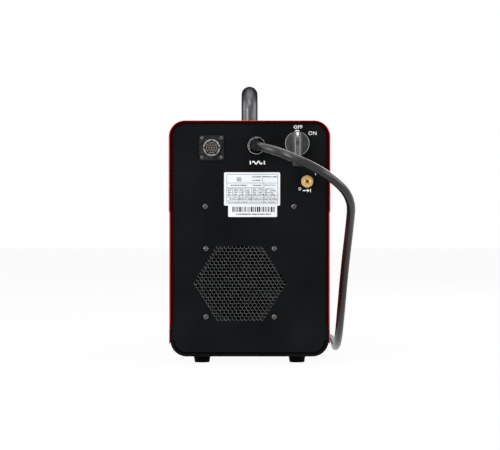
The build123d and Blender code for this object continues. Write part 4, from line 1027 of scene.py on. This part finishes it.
@dataclass
class SwitchMarks:
    """Pointer, and painted highlights along the lever's edges and round the dial's rim, on the mains switch's lever;
    they turn with it.
    """

    dial_radius: float = 18.75
    dial_height: float = 6.0
    bar_height: float = 25.0
    slope_from: float = 9.8
    slope: float = 29.98
    bar_half: float = 3.6

    def build(self) -> None:
        """Build the marks."""
        screw = centre_of("lever_screw")
        dial = rear_place(screw.x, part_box("switch_lever")[1].y - self.bar_height * MM, screw.z)
        # a bright line round the dial's rim: a painted highlight
        rim = Shape(dial, self.dial_height - 0.1, self.dial_height + 0.16)
        outer = self.dial_radius - 0.25
        for start in (118, -62):
            rim.ring((0, 0), outer - 0.55, outer, start, 124, 40)
        rim.piece("dial_rim_highlight", WORN_METAL_AND_HIGHLIGHT, "switch_plastic", "switch_lever")
        angle = math.radians(self.slope)
        foot = dial.moved(up=self.slope_from, out=self.bar_height)
        slant = Place(foot.origin, dial.right, Vector((0, -math.sin(angle), math.cos(angle))))
        pointer = Shape(slant, -0.1, 0.12).slab((0, 4.9), (3.3, 5.5), corner=0.4)
        pointer.piece("lever_pointer", WHITE_INK, "switch_plastic", "switch_lever")
        # bright lines along the bar's edges and across its slope: painted highlights
        edge_highlights = Shape(dial.moved(out=self.bar_height), -0.1, 0.18)
        for across in (-self.bar_half, self.bar_half):
            edge_highlights.bars((across, -9.5, 0.55, 36.0))
        edge_highlights.between(-0.1, 0.16).bars((0, self.slope_from - 0.4, 7.4, 0.5))
        edge_highlights.piece("lever_edge_highlights", WORN_METAL_AND_HIGHLIGHT, "switch_plastic", "switch_lever")


@dataclass
class ConnectorMarks:
    """Worn bright edges of the remote connector's barrel, broken at its key slots, and dark rings of painted shade in
    its holes and in the gap round its insert.
    """

    breaks: tuple[float, ...] = (90.0, 0.0, -52.0, -128.0, 180.0)
    half_break: float = 7.5
    inner: float = 10.9
    outer: float = 12.7
    hole_rows: tuple[int, ...] = (3, 4, 4, 3)
    hole_pitch: float = 3.9
    row_pitch: float = 3.7
    flange_half: float = 18.2
    flange_height: float = 3.0

    def build(self) -> None:
        """Build the edges and the painted shade of the holes."""
        middle, face = centre_of("connector_shell"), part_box("connector_shell")[1].y
        place = rear_place(middle.x, face, middle.z)
        edges = Shape(place, -0.2, 0.12)
        ordered = sorted(angle % 360 for angle in self.breaks)
        for start, end in zip(ordered, ordered[1:] + [ordered[0] + 360]):
            sweep = end - start - 2 * self.half_break
            steps = max(3, round(sweep / 5))
            edges.ring((0, 0), self.inner, self.inner + 0.55, start + self.half_break, sweep, steps)
            edges.ring((0, 0), self.outer - 0.5, self.outer, start + 2, end - start - 4, steps)
        edges.piece("barrel_edges", WORN_METAL_AND_HIGHLIGHT, "connector_metal")
        # dark rings round each contact and round the insert: painted shade of the holes and the gap
        holes = Shape(place.moved(out=(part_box("connector_insert")[1].y - face) / MM))
        for row, count in enumerate(self.hole_rows):
            for column in range(count):
                spot = ((column - (count - 1) / 2) * self.hole_pitch, (1.5 - row) * self.row_pitch)
                holes.ring(spot, 0.7, 1.45, steps=16)
        holes.ring((0, 0), 9.0, 10.8)
        holes.piece("contact_hole_shade", CONTACT_AND_HOLE_SHADE, "connector_resin")
        flange = (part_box("rear_panel")[1].y - face) / MM + self.flange_height
        frame = Shape(place.moved(out=flange), -0.1, 0.12)
        frame.bars((-self.flange_half, 2, 0.5, 30), (0, self.flange_half, 30, 0.5))
        frame.piece("flange_edges", CAST_SHELL, "connector_metal")


@dataclass
class FanGrille:
    """Painted highlight on the lower side of each hole of the fan grille, where light from above falls on the hole's
    wall, and a dark gauze of painted shade behind.
    """

    rows: int = 11
    widest: int = 23
    pitch: float = 6.2
    row_pitch: float = 5.0
    hole: float = 2.3
    rim: float = 0.5
    start: float = 160.0
    sweep: float = 160.0
    steps: int = 10
    mouth: float = 55.5
    gauze_depth: float = 3.4

    def build(self) -> None:
        """Build the painted highlights and the shade gauze."""
        fan = centre_of("fan_frame")
        place = rear_place(0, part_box("rear_panel")[1].y, 0)
        # light arcs round the lower side of each hole: painted highlights
        hole_highlights = Shape(place)
        for row in range(-self.rows, self.rows + 1):
            count = self.widest - abs(row)
            for n in range(count):
                across = -fan.x / MM + (n - (count - 1) / 2) * self.pitch
                centre = (across, fan.z / MM + row * self.row_pitch)
                hole_highlights.ring(centre, self.hole, self.hole + self.rim, self.start, self.sweep, self.steps)
        hole_highlights.piece("grille_hole_highlights", GRILLE_HOLE_HIGHLIGHT, "black_paint")
        # a fine dark gauze across the fan's mouth, clear of the blades: painted shade that dims the fan and the parts
        # behind it
        gauze = Shape(place.moved(right=-fan.x / MM, up=fan.z / MM, out=-self.gauze_depth), 0.0, 0.3)
        gauze.ring((0, 0), 0.01, self.mouth, steps=72).piece("interior_shade_gauze", SHADE_GAUZE, "fan_plastic")


@dataclass
class ControlPanel:
    """Digits, lamps, scale, pictograms and knob lines on the front."""

    face: Place
    window_face: Place
    knob: Point = (46.0, 276.0)
    regulator: Point = (-88.2, 280.4)
    button: Point = (-4.0, 276.0)
    window: Point = (-22.0, 328.0)
    lamps: tuple[tuple[float, Finish], ...] = ((339.0, LENS_GREEN), (328.0, LENS_AMBER), (317.0, LENS_RED))
    lamp_across: float = 24.0
    ink: float = 0.7
    digit_size: Point = (11.5, 20.5)
    digit_bar: float = 2.0
    digit_gap: float = 0.35
    digit_lean: float = 0.12

    def segment(self, length: float) -> list[Point]:
        """Outline of a bar of a digit, lying and pointed at both ends."""
        half, tip = length / 2, self.digit_bar / 2
        return [(-half, 0), (-half + tip, tip), (half - tip, tip), (half, 0), (half - tip, -tip), (-half + tip, -tip)]

    def digit(self, shape: Shape, x: float, y: float) -> None:
        """Add the seven bars of a digit.

        Args:
            shape: The shape that they join.
            x: The digit's middle, across.
            y: The digit's middle, up.
        """
        (width, height), bar, gap, lean = self.digit_size, self.digit_bar, self.digit_gap, self.digit_lean
        lying = self.segment(width - bar - 2 * gap)
        standing = [(b, a) for a, b in self.segment((height - bar) / 2 - 2 * gap)]
        for level in (-1, 0, 1):
            middle = (x + lean * level * height / 2, y + level * (height - bar) / 2)
            shape.prism([(middle[0] + a, middle[1] + b) for a, b in lying])
        for side in (-1, 1):
            for level in (-0.5, 0.5):
                middle = (x + side * (width - bar) / 2, y + level * (height - bar) / 2)
                shape.prism([(middle[0] + a + lean * (middle[1] + b - y), middle[1] + b) for a, b in standing])

    def display(self) -> None:
        """Build the bezel and three unlit digits."""
        x, y = self.window
        digits = Shape(self.window_face)
        for across in (-17, 0, 17):
            self.digit(digits, x + across - 0.6, y)
        dot = [(0, PRINT_LOW), (1.0, PRINT_LOW), (1.0, PRINT_HIGH), (0, PRINT_HIGH)]
        digits.turned(dot, (x + 27.5, y - 9.4), 20).piece("dead_digits", DEAD_DIGIT, "window_glass")
        bezel = Shape(self.face, -0.1, 0.8).band(rounded(self.window, (71.2, 35.2), 2.5, 6), 2.4)
        bezel.piece("display_bezel", GLOSS_BLACK, "fascia_plastic", bevel=0.3)

    def indicators(self) -> None:
        """Build the indicator lamps, each with its pictogram."""
        dome = [(0, 1.5), (0.9, 1.38), (1.6, 1.0), (2.0, 0.3), (2.0, -0.1), (0, -0.1)]
        collar = [(2.1, -0.1), (3.0, -0.1), (3.0, 0.35), (2.6, 0.6), (2.1, 0.6)]
        rings = Shape(self.face)
        for up, lens in self.lamps:
            spot = (self.lamp_across, up)
            Shape(self.face).turned(dome, spot, 24).piece(f"lamp_{lens.name}", lens, "fascia_plastic")
            rings.turned(collar, spot, 28, closed=True)
        rings.piece("lamp_collars", CHROME, "gauge_metal")
        signs = Shape(self.face)
        x, ink = self.lamp_across + 9.5, self.ink
        top, middle, bottom = (up for up, _ in self.lamps)
        signs.ring((x, top), 1.9, 2.6, 118, 304, 24).bars((x, top + 1.9, ink, 3.2))
        signs.slab((x, middle + 0.8), (1.1, 4.2), corner=0.5).ring((x, middle - 2.0), 0.0001, 1.2, 0, 359, 16)
        signs.bars((x + 2.2, middle + 1.8, 1.6, ink), (x + 2.2, middle + 0.2, 1.6, ink))
        signs.stroke([(x - 2.6, bottom - 2), (x, bottom + 2.4), (x + 2.6, bottom - 2)], ink)
        signs.bars((x, bottom - 2, 5.6, ink), (x, bottom, ink, 1.8))
        signs.piece("lamp_signs", WHITE_INK, "fascia_plastic")

    def scales(self) -> None:
        """Print the current scale, the regulator's arrow and the test button's sign."""
        (x, y), ink, number_reach = self.knob, self.ink, 26.4
        scale = Shape(self.face)
        for n in range(21):
            angle = 225 - 13.5 * n
            long = n % 5 == 0
            reach, run, width = (21.0, 3.4, 0.75) if long else (20.2, 1.8, 0.45)
            scale.slab(polar((x, y), reach, angle), (run, width), turn=angle)
            if long:
                c, k = polar((0, 0), 1.0, angle)
                spot = (x + number_reach * c * (1.02 if abs(c) > 0.5 else 1), y + number_reach * k)
                scale.words(str(20 + 2 * n), spot, 3.3, 0.02)
        x, y = self.regulator
        scale.ring((x, y), 16.6, 17.3, 40, 100, 20)
        scale.prism([(x + 12.0, y + 12.9), (x + 14.9, y + 9.0), (x + 10.6, y + 9.6)])
        scale.bars((x + 16.4, y + 15.4, 3.4, ink), (x + 16.4, y + 15.4, ink, 3.4), (x - 13.6, y + 16.4, 3.4, ink))
        x, y = self.button
        scale.ring((x, y), 9.2, 9.8, steps=40).bars((x - 1.4, y + 14.4, 5.0, 0.9))
        scale.prism([(x + 0.8, y + 12.6), (x + 3.8, y + 14.4), (x + 0.8, y + 16.2)])
        for up in (-1.5, 0, 1.5):
            scale.bars((x + 6.2, y + 14.4 + up, 2.2, 0.5))
        scale.piece("panel_print", WHITE_INK, "fascia_plastic")

    def knob_lines(self) -> None:
        """Build the line and the cap disc on each knob; they turn with it."""
        for name, spot, radius, angle in (
            ("current_knob", self.knob, 15.4, 225.0), ("regulator_knob", self.regulator, 12.0, 90.0)
        ):
            place = front_place(0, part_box(name)[0].y, 0)
            line = Shape(place, -0.2, 0.1)
            line.slab(polar(spot, radius * 0.70, angle), (radius * 0.55, 1.5), turn=angle)
            line.piece(f"{name}_line", WHITE_INK, "knob_plastic", name)
            shares = ((0, -0.1), (0.34, -0.1), (0.34, 0.12), (0.30, 0.3), (0.26, 0.14), (0, 0.1))
            cap = Shape(place).turned([(radius * share, height) for share, height in shares], spot, 40)
            cap.piece(f"{name}_cap", GLOSS_BLACK, "knob_plastic", name)

    def build(self) -> None:
        """Build everything on the fascia."""
        self.display()
        self.indicators()
        self.scales()
        self.knob_lines()


@dataclass
class Gauge:
    """Printed dial of the pressure gauge, and the needle's cap."""

    radius: float = 17.9
    numbers: tuple[int, ...] = (0, 2, 4, 6, 8, 10)
    first_angle: float = 225
    sweep: float = 270
    tick_reach: float = 16.6
    number_reach: float = 11.3

    def build(self) -> None:
        """Build the dial; the cap turns with the needle."""
        middle = centre_of("gauge_lens")
        place = front_place(middle.x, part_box("gauge_case")[0].y + 0.005, middle.z)
        dial = Shape(place, -0.05, 0.12).ring((0, 0), 1.0, self.radius, steps=56)
        dial.piece("gauge_dial", DIAL_WHITE, "label_paper")
        ink = Shape(place.moved(out=0.12), -0.02, 0.05)
        gaps = len(self.numbers) - 1
        for n in range(10 * gaps + 1):
            angle = self.first_angle - self.sweep * n / (10 * gaps)
            run = 2.6 if n % 10 == 0 else 1.7 if n % 5 == 0 else 1.0
            size = (run, 0.6 if n % 10 == 0 else 0.3)
            ink.slab(polar((0, 0), self.tick_reach - run / 2, angle), size, turn=angle)
        for n, number in enumerate(self.numbers):
            spot = polar((0, 0), self.number_reach, self.first_angle - self.sweep * n / gaps)
            ink.words(str(number), spot, 2.6, 0.03)
        ink.words("bar", (0, -7.0), 2.3, 0.02).ring((0, 0), 16.7, 17.0, -45, 270, 60)
        ink.piece("gauge_scale", BLACK_INK, "label_paper")
        hub = front_place(middle.x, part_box("gauge_needle")[0].y, middle.z)
        cap = Shape(hub).turned([(0, 0.55), (1.4, 0.5), (2.1, 0.15), (2.1, -0.1), (0, -0.1)], steps=28)
        cap.piece("needle_cap", BLACK_SCREW, "gauge_metal", "gauge_needle")


@dataclass
class Sockets:
    """Thread, screws, contacts and signs of the torch socket and the earth socket."""

    thread_radius: float = 18.0
    thread_depth: float = 0.55
    thread_start: float = 8.6
    thread_end: float = 3.2
    thread_pitch: float = 2.2
    screw_ring: float = 22.2

    def threads(self, place: Place, boss: float) -> None:
        """Build the torch socket's thread.

        Args:
            place: Frame on the front panel, round the socket.
            boss: How far the socket stands out.
        """
        threads = Shape(place)
        r, top, at = self.thread_radius, self.thread_radius + self.thread_depth, self.thread_start
        while at < boss - self.thread_end:
            ridge = [(r - 0.3, -0.9), (r + 0.1, -0.75), (top, -0.2), (top, 0.2), (r + 0.1, 0.75), (r - 0.3, 0.9)]
            threads.turned([(radius, at + along) for radius, along in ridge], steps=64, closed=True)
            at += self.thread_pitch
        threads.piece("torch_threads", INSULATOR, "torch_plastic")

    def screws(self, place: Place) -> None:
        """Build the torch socket's four screws, with crossed slots drawn as raised black crosses of painted shade.

        Args:
            place: Frame on the front panel, round the socket.
        """
        # the slots are black crosses on the heads, standing in for the shade in real slots: painted shade
        heads, slots = Shape(place), Shape(place, 7.1, 7.58)
        for n in range(4):
            spot = polar((0, 0), self.screw_ring, 45 + 90 * n)
            heads.turned([(0, 7.5), (1.3, 7.35), (2.3, 6.8), (2.6, 5.9), (0, 5.9)], spot, 24)
            for turn in (0, 90):
                slots.slab(spot, (2.6, 0.55), turn=30 * n + turn)
        heads.piece("torch_screws", NICKEL, "nickel_screw")
        slots.piece("torch_screw_slot_shade", BLACK_SCREW, "black_screw")

    def signs(self, face: float, torch: Vector, earth: Vector) -> None:
        """Print a sign over each socket.

        Args:
            face: Where the front panel's face is.
            torch: Middle of the torch socket.
            earth: Middle of the earth socket.
        """
        signs = Shape(front_place(0, face, 0))
        # a torch over a cut plate
        x, y = torch.x / MM, torch.z / MM + 40
        signs.stroke([(x - 9, y + 8), (x - 3.2, y + 2.2)], 1.6)
        signs.prism([(x - 3.9, y + 0.4), (x - 1.4, y + 2.9), (x + 0.2, y - 1.8)])
        signs.bars((x - 6.6, y - 3.8, 10.5, 1.2), (x + 7.4, y - 3.8, 10.5, 1.2))
        for a, b in ((2.6, 2.4), (3.6, 0.2), (0.4, 4.2)):
            signs.stroke([(x + 1.0 + a * 0.3, y - 1.2 + b * 0.3), (x + 1.0 + a, y - 1.2 + b)], 0.6)
        # a clamp's lead to earth
        x, y = earth.x / MM, earth.z / MM + 36
        signs.bars((x, y + 5.2, 0.9, 7.6), (x, y + 1.4, 11.0, 0.9), (x, y - 1.0, 7.4, 0.9), (x, y - 3.4, 3.6, 0.9))
        signs.piece("socket_signs", WHITE_INK, "black_paint")

    def build(self) -> None:
        """Build the sockets' details."""
        torch, earth = centre_of("torch_socket"), centre_of("earth_socket")
        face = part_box("front_panel")[0].y
        place = front_place(torch.x, face, torch.z)
        boss = (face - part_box("torch_socket")[0].y) / MM
        self.threads(place, boss)
        self.screws(place)
        profile = [(8.05, 2.0), (9.5, 2.0), (9.5, boss - 0.4), (9.2, boss + 0.12), (8.05, boss + 0.12)]
        Shape(place).turned(profile, closed=True).piece("torch_contact", BRASS, "brass")
        self.signs(face, torch, earth)
        profile = [(6.7, -0.1), (11.6, -0.1), (11.6, 0.1), (11.2, 0.35), (7.3, 0.35), (6.7, 0.1)]
        collar = Shape(front_place(earth.x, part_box("earth_socket")[0].y, earth.z))
        collar.turned(profile, steps=56, closed=True).piece("earth_contact", BRASS, "brass")


@dataclass
class Plug:
    """The lead's plug: a fluted grip nut and a ribbed round body behind its pins."""

    radius: float = 26.9
    grip_radius: float = 16.9
    ribs: int = 24
    grips: int = 14

    def axis(self, node: str) -> tuple[Place, float]:
        """Frame that looks along the plug from one end of a node, and the node's length."""
        (low, high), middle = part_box(node), centre_of("plug_pins")
        return Place(Vector((low.x, middle.y, middle.z)), Vector((0, 1, 0))), (high.x - low.x) / MM

    def grip(self) -> bpy.types.Object:
        """Build the grip nut.

        Returns:
            The nut.
        """
        axis, length = self.axis("plug_grip_nut")
        r = self.grip_radius
        profile = [
            (6.6, 0), (8.6, 0), (9.2, 0.6), (11.0, 4.5), (r - 1.6, 8.0), (r - 0.2, 8.6), (r, 9.4), (r, 14.0),
            (r, length - 4.0), (r, length - 3.4), (r - 0.2, length - 2.4), (r - 0.8, length), (6.6, length),
        ]
        grip = flutes(self.grips, 1.1, 8, length - 3)
        nut = Shape(axis).turned(profile, steps=84, closed=True, ripple=grip)
        return nut.piece("plug_grip", PLUG_PLASTIC, "plug_plastic", replaces=["plug_grip_nut"])

    def shell(self) -> bpy.types.Object:
        """Build the round body.

        Returns:
            The body.
        """
        axis, length = self.axis("plug_body")
        r = self.radius
        profile = [
            (0, 0), (17.5, 0), (18.4, 0.7), (18.9, 3.0), (21.0, 5.8), (r - 1.6, 8.6), (r - 0.5, 10.4), (r - 0.5, 14.0),
            (r - 0.5, length - 14.0), (r - 0.5, length - 12.4), (r - 1.6, length - 11.6), (r - 1.6, length - 9.8),
            (r - 0.2, length - 9.0), (r, length - 8.2), (r, length - 1.2), (r - 0.5, length - 0.3), (r - 1.2, length),
            (r - 3.2, length), (r - 3.8, length - 0.5), (r - 4.2, length - 2.2), (0, length - 2.2),
        ]
        ribs = flutes(self.ribs, 1.0, 10, length - 13, power=3)
        body = Shape(axis).turned(profile, steps=144, ripple=ribs)
        return body.piece("plug_shell", PLUG_PLASTIC, "plug_plastic", replaces=["plug_body"])

    def build(self) -> list[bpy.types.Object | str]:
        """Build the plug's pieces, and return what lies on the lead's end."""
        return [self.grip(), self.shell(), "plug_pins"]


@dataclass
class MainsLead:
    """The mains lead: out of the gland, round the case's corner, down and forward to its coil."""

    diameter: float = 0.013
    length: float = 3.10
    floor: float = 0.0067
    route: tuple[Spot, ...] = (
        (-0.0105, 0.278, 0.3344), (-0.0106, 0.334, 0.3318), (-0.0490, 0.384, 0.3190), (-0.1110, 0.384, 0.2905),
        (-0.1525, 0.340, 0.2555), (-0.1525, 0.272, 0.2100), (-0.1490, 0.216, 0.1530), (-0.1460, 0.162, 0.0820),
        (-0.1450, 0.090, 0.0240), (-0.1450, 0.004, 0.0067), (-0.1490, -0.092, 0.0067), (-0.1510, -0.190, 0.0067),
        (-0.1450, -0.278, 0.0067), (-0.1319, -0.338, 0.0067), (-0.1319, -0.387, 0.0067),
    )
    coil_centre: Point = (-0.045, -0.400)
    coil_inner: float = 0.058
    coil_pitch: float = 0.0136
    coil_quarters: float = 17.0
    points_a_turn: int = 24
    tail: tuple[Spot, ...] = (
        (-0.032, -0.4869, 0.0203), (-0.012, -0.4869, 0.0203), (-0.002, -0.4869, 0.0272), (0.018, -0.4869, 0.0272),
        (0.031, -0.4869, 0.0272),
    )

    def coil(self) -> list[Vector]:
        """Control points of the coil, in along the floor and out on top.

        Returns:
            The points, in order.
        """
        count = round(self.coil_quarters / 4 * self.points_a_turn)
        points = []
        for n in range(count + 1):
            quarters = self.coil_quarters * n / count
            from_middle = quarters - self.coil_quarters / 2
            radius = self.coil_inner + self.coil_pitch * abs(from_middle) / 4
            climb = min(max((from_middle + 1) / 2, 0.0), 1.0)
            angle = -quarters * math.pi / 2
            x = self.coil_centre[0] - radius * math.cos(angle)
            y = self.coil_centre[1] + radius * math.sin(angle)
            points.append(Vector((x, y, self.floor + self.coil_pitch * climb * climb * (3 - 2 * climb))))
        return points

    def build(self, on_it: Sequence[bpy.types.Object | str]) -> None:
        """Args:
            on_it: The pieces on its far end; not used.
        """
        points = [*self.route, *self.coil(), *self.tail]
        curve = bpy.data.curves.new("mains_lead", "CURVE")
        curve.dimensions = "3D"
        spline = curve.splines.new("NURBS")
        spline.points.add(len(points) - 1)
        for control, point in zip(spline.points, points):
            control.co = (*point, 1.0)
        spline.order_u, spline.resolution_u = 3, 8
        spline.use_endpoint_u = spline.use_smooth = True
        curve.bevel_depth, curve.bevel_resolution = self.diameter / 2, 6
        curve.use_fill_caps = True
        lead = linked("mains_lead", curve)
        settle(lead, LEAD_RUBBER, "case", ["mains_cable", "mains_cable_coil"])


@dataclass
class CoilStraps:
    """Two woven straps pulled tight round the put-away turns of the lead."""

    centre: Vector
    clearance: float = 0.15
    thickness: float = 1.3
    width: float = 18.0
    angles: tuple[float, ...] = (25.0, 128.0)

    def crossings(self, turns: Sequence[Vector], angle: float) -> list[Point]:
        """Where the turns cross a half plane through the coil's axis.

        Args:
            turns: Points along the turns, in metres.
            angle: Direction of the half plane, in degrees.

        Returns:
            Distance from the axis and height of each crossing, in millimetres.
        """
        c, k = polar((0, 0), 1.0, angle)
        found = []
        for first, second in zip(turns, turns[1:]):
            a, b = first - self.centre, second - self.centre
            side_a, side_b = c * a.y - k * a.x, c * b.y - k * b.x
            if side_a * side_b < 0 and c * a.x + k * a.y > 0:
                at = a.lerp(b, side_a / (side_a - side_b))
                found.append(((c * at.x + k * at.y) / MM, at.z / MM))
        return found

    def hull(self, points: list[Point]) -> list[Point]:
        """Find the convex outline of points.

        Args:
            points: The points.

        Returns:
            The outline, anticlockwise.
        """

        def half(ordered: Iterable[Point]) -> list[Point]:
            """One side of the outline."""
            kept: list[Point] = []
            for point in ordered:
                while len(kept) > 1 and (
                    (kept[-1][0] - kept[-2][0]) * (point[1] - kept[-2][1])
                    <= (kept[-1][1] - kept[-2][1]) * (point[0] - kept[-2][0])
                ):
                    kept.pop()
                kept.append(point)
            return kept[:-1]

        ordered = sorted(points)
        return half(ordered) + half(reversed(ordered))

    def build(self, turns: Sequence[Vector], radius: float) -> None:
        """Build the straps.

        Args:
            turns: Points along the turns, in metres.
            radius: Radius of the lead, in millimetres.
        """
        reach, half = radius + self.clearance + self.thickness, self.width / 2
        for n, angle in enumerate(self.angles):
            place = Place(self.centre, Vector((*polar((0, 0), 1.0, angle), 0)))
            spots = self.crossings(turns, angle)
            circles = [point for spot in spots for point in around(spot, reach, 0, 345, 23)]
            outline = self.hull([(a, max(b, 0.1)) for a, b in circles])
            strap = Shape(place, -half, half).band(outline, self.thickness)
            far = max(a for a, _ in outline)
            low = min(b for a, b in outline if a > far - 0.01)
            flap = ((-1.2, 8), (0.5, 6), (1.9, -1), (1.5, -6), (0.3, -6.2), (0.4, -1))
            strap.between(-half + 1, half - 1).prism([(far + a, low + b) for a, b in flap])
            strap.piece(f"coil_strap_{n + 1}", STRAP, "cable_rubber", bevel=0.25)


@dataclass
class Studio:
    """Pale floor, soft lamps and the camera behind the unit."""

    distance: float = 2.5
    view_width: float = 0.7675
    aim: Point = (-0.0007, 0.2137)
    rear: float = 0.2552
    floor_reach: float = 12.0
    # name, place, what it points at, width and height, and watts
    lamps: tuple[tuple[str, Spot, Spot, Point, float], ...] = (
        ("key_lamp", (1.5, 2.2, 1.9), (0, 0.2, 0.2), (1.0, 1.0), 5),
        ("tall_strip", (1.35, 2.2, 0.68), (0, 0.2, 0.4), (0.6, 1.2), 30),
        ("low_strip", (-1.9, 1.75, 0.3), (0, 0.2, 0.3), (0.5, 0.6), 12),
        ("overhead_strip", (0.15, 1.35, 1.75), (0, 0.26, 0.33), (1.0, 0.16), 8),
        ("left_side", (1.7, 0.3, 0.8), (0, 0.1, 0.2), (0.8, 1.2), 11),
        ("right_side", (-1.7, 0.3, 0.8), (0, 0.1, 0.2), (0.8, 1.2), 13),
        ("top_lamp", (0, 0, 2.0), (0, 0, 0.3), (1.6, 1.6), 15),
        ("front_lamp", (-1.0, -2.2, 1.6), (0, -0.2, 0.2), (1.4, 1.2), 26),
    )

    def camera(self) -> None:
        """Set up the camera, level and square to the rear panel."""
        data = bpy.data.cameras.new("camera")
        data.sensor_width = 36.0
        data.lens = data.sensor_width * self.distance / self.view_width
        data.clip_end = 50.0
        camera = linked("camera", data)
        camera.location = (self.aim[0], self.rear + self.distance, self.aim[1])
        camera.rotation_euler = (math.pi / 2, 0, math.pi)
        bpy.context.scene.camera = camera

    def seen(self, graph: Graph) -> Socket:
        """1 on rays from the camera, off a shiny surface or through glass, else 0."""
        kinds = ("Camera", "Glossy", "Transmission")
        camera, glossy, glass = (graph.node("ShaderNodeLightPath", {}, {}, f"Is {kind} Ray") for kind in kinds)
        return (camera + glossy + glass).clamped()

    def world(self) -> None:
        """White where it is looked at or mirrored, a gentle grey where it only lights."""
        world = bpy.data.worlds.new("studio")
        bpy.context.scene.world = world
        graph = Graph(world)
        upward = graph.node("ShaderNodeTexCoord", {}, {}, "Generated")
        height = graph.node("ShaderNodeSeparateXYZ", {}, {"Vector": upward}, "Z")
        soft = (height * 1.5).clamped() * 0.24 + 0.09
        strength = soft + self.seen(graph) * (1 - soft)
        sky = graph.node("ShaderNodeBackground", {}, {"Color": (1.0, 1.0, 1.0), "Strength": strength})
        graph.node("ShaderNodeOutputWorld", {}, {"Surface": sky})

    def floor(self) -> None:
        """A wide pale floor that keeps a soft shadow."""
        data = bpy.data.meshes.new("floor")
        corners = [(a * self.floor_reach, b * self.floor_reach, 0) for a, b in QUARTERS[2:] + QUARTERS[:2]]
        data.from_pydata(corners, [], [(0, 1, 2, 3)])
        floor = linked("floor", data)
        material = bpy.data.materials.new("pale_floor")
        graph = Graph(material)
        paint = graph.node("ShaderNodeBsdfDiffuse", {}, {"Color": (0.80, 0.80, 0.80)})
        white = graph.node("ShaderNodeEmission", {}, {"Color": (1.0, 1.0, 1.0), "Strength": 1.0})
        both = graph.node("ShaderNodeMixShader", {}, {0: self.seen(graph) * 0.95, 1: paint, 2: white})
        graph.node("ShaderNodeOutputMaterial", {}, {"Surface": both})
        data.materials.append(material)

    def build(self) -> None:
        """Set up the whole studio."""
        self.camera()
        self.world()
        self.floor()
        for name, place, aim, size, power in self.lamps:
            data = bpy.data.lights.new(name, "AREA")
            data.shape, data.size, data.size_y, data.energy = "RECTANGLE", *size, power
            lamp = linked(name, data)
            lamp.location = place
            lamp.rotation_euler = (Vector(aim) - Vector(place)).to_track_quat("-Z", "Y").to_euler()
        bpy.context.scene.view_settings.view_transform = "Standard"


def main() -> None:
    """Load the frame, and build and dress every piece."""
    logging.basicConfig(level=logging.INFO, format="%(message)s")
    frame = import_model()
    fascia_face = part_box("control_fascia")[0].y + 1.5 * MM
    window_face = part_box("display_window")[0].y
    lead = MainsLead()
    for assembly in (
        CarriedNodes(frame["nodes"]),
        RearMarks(rear_place(0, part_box("rear_panel")[1].y, 0)),
        Labels(),
        Gland(),
        SwitchMarks(),
        ConnectorMarks(),
        FanGrille(),
        ControlPanel(front_place(0, fascia_face, 0), front_place(0, window_face, 0)),
        Gauge(),
        Sockets(),
    ):
        assembly.build()
    lead.build(Plug().build())
    CoilStraps(Vector((*lead.coil_centre, 0))).build(lead.coil(), lead.diameter / 2 / MM)
    Studio().build()


if __name__ == "__main__":
    main()
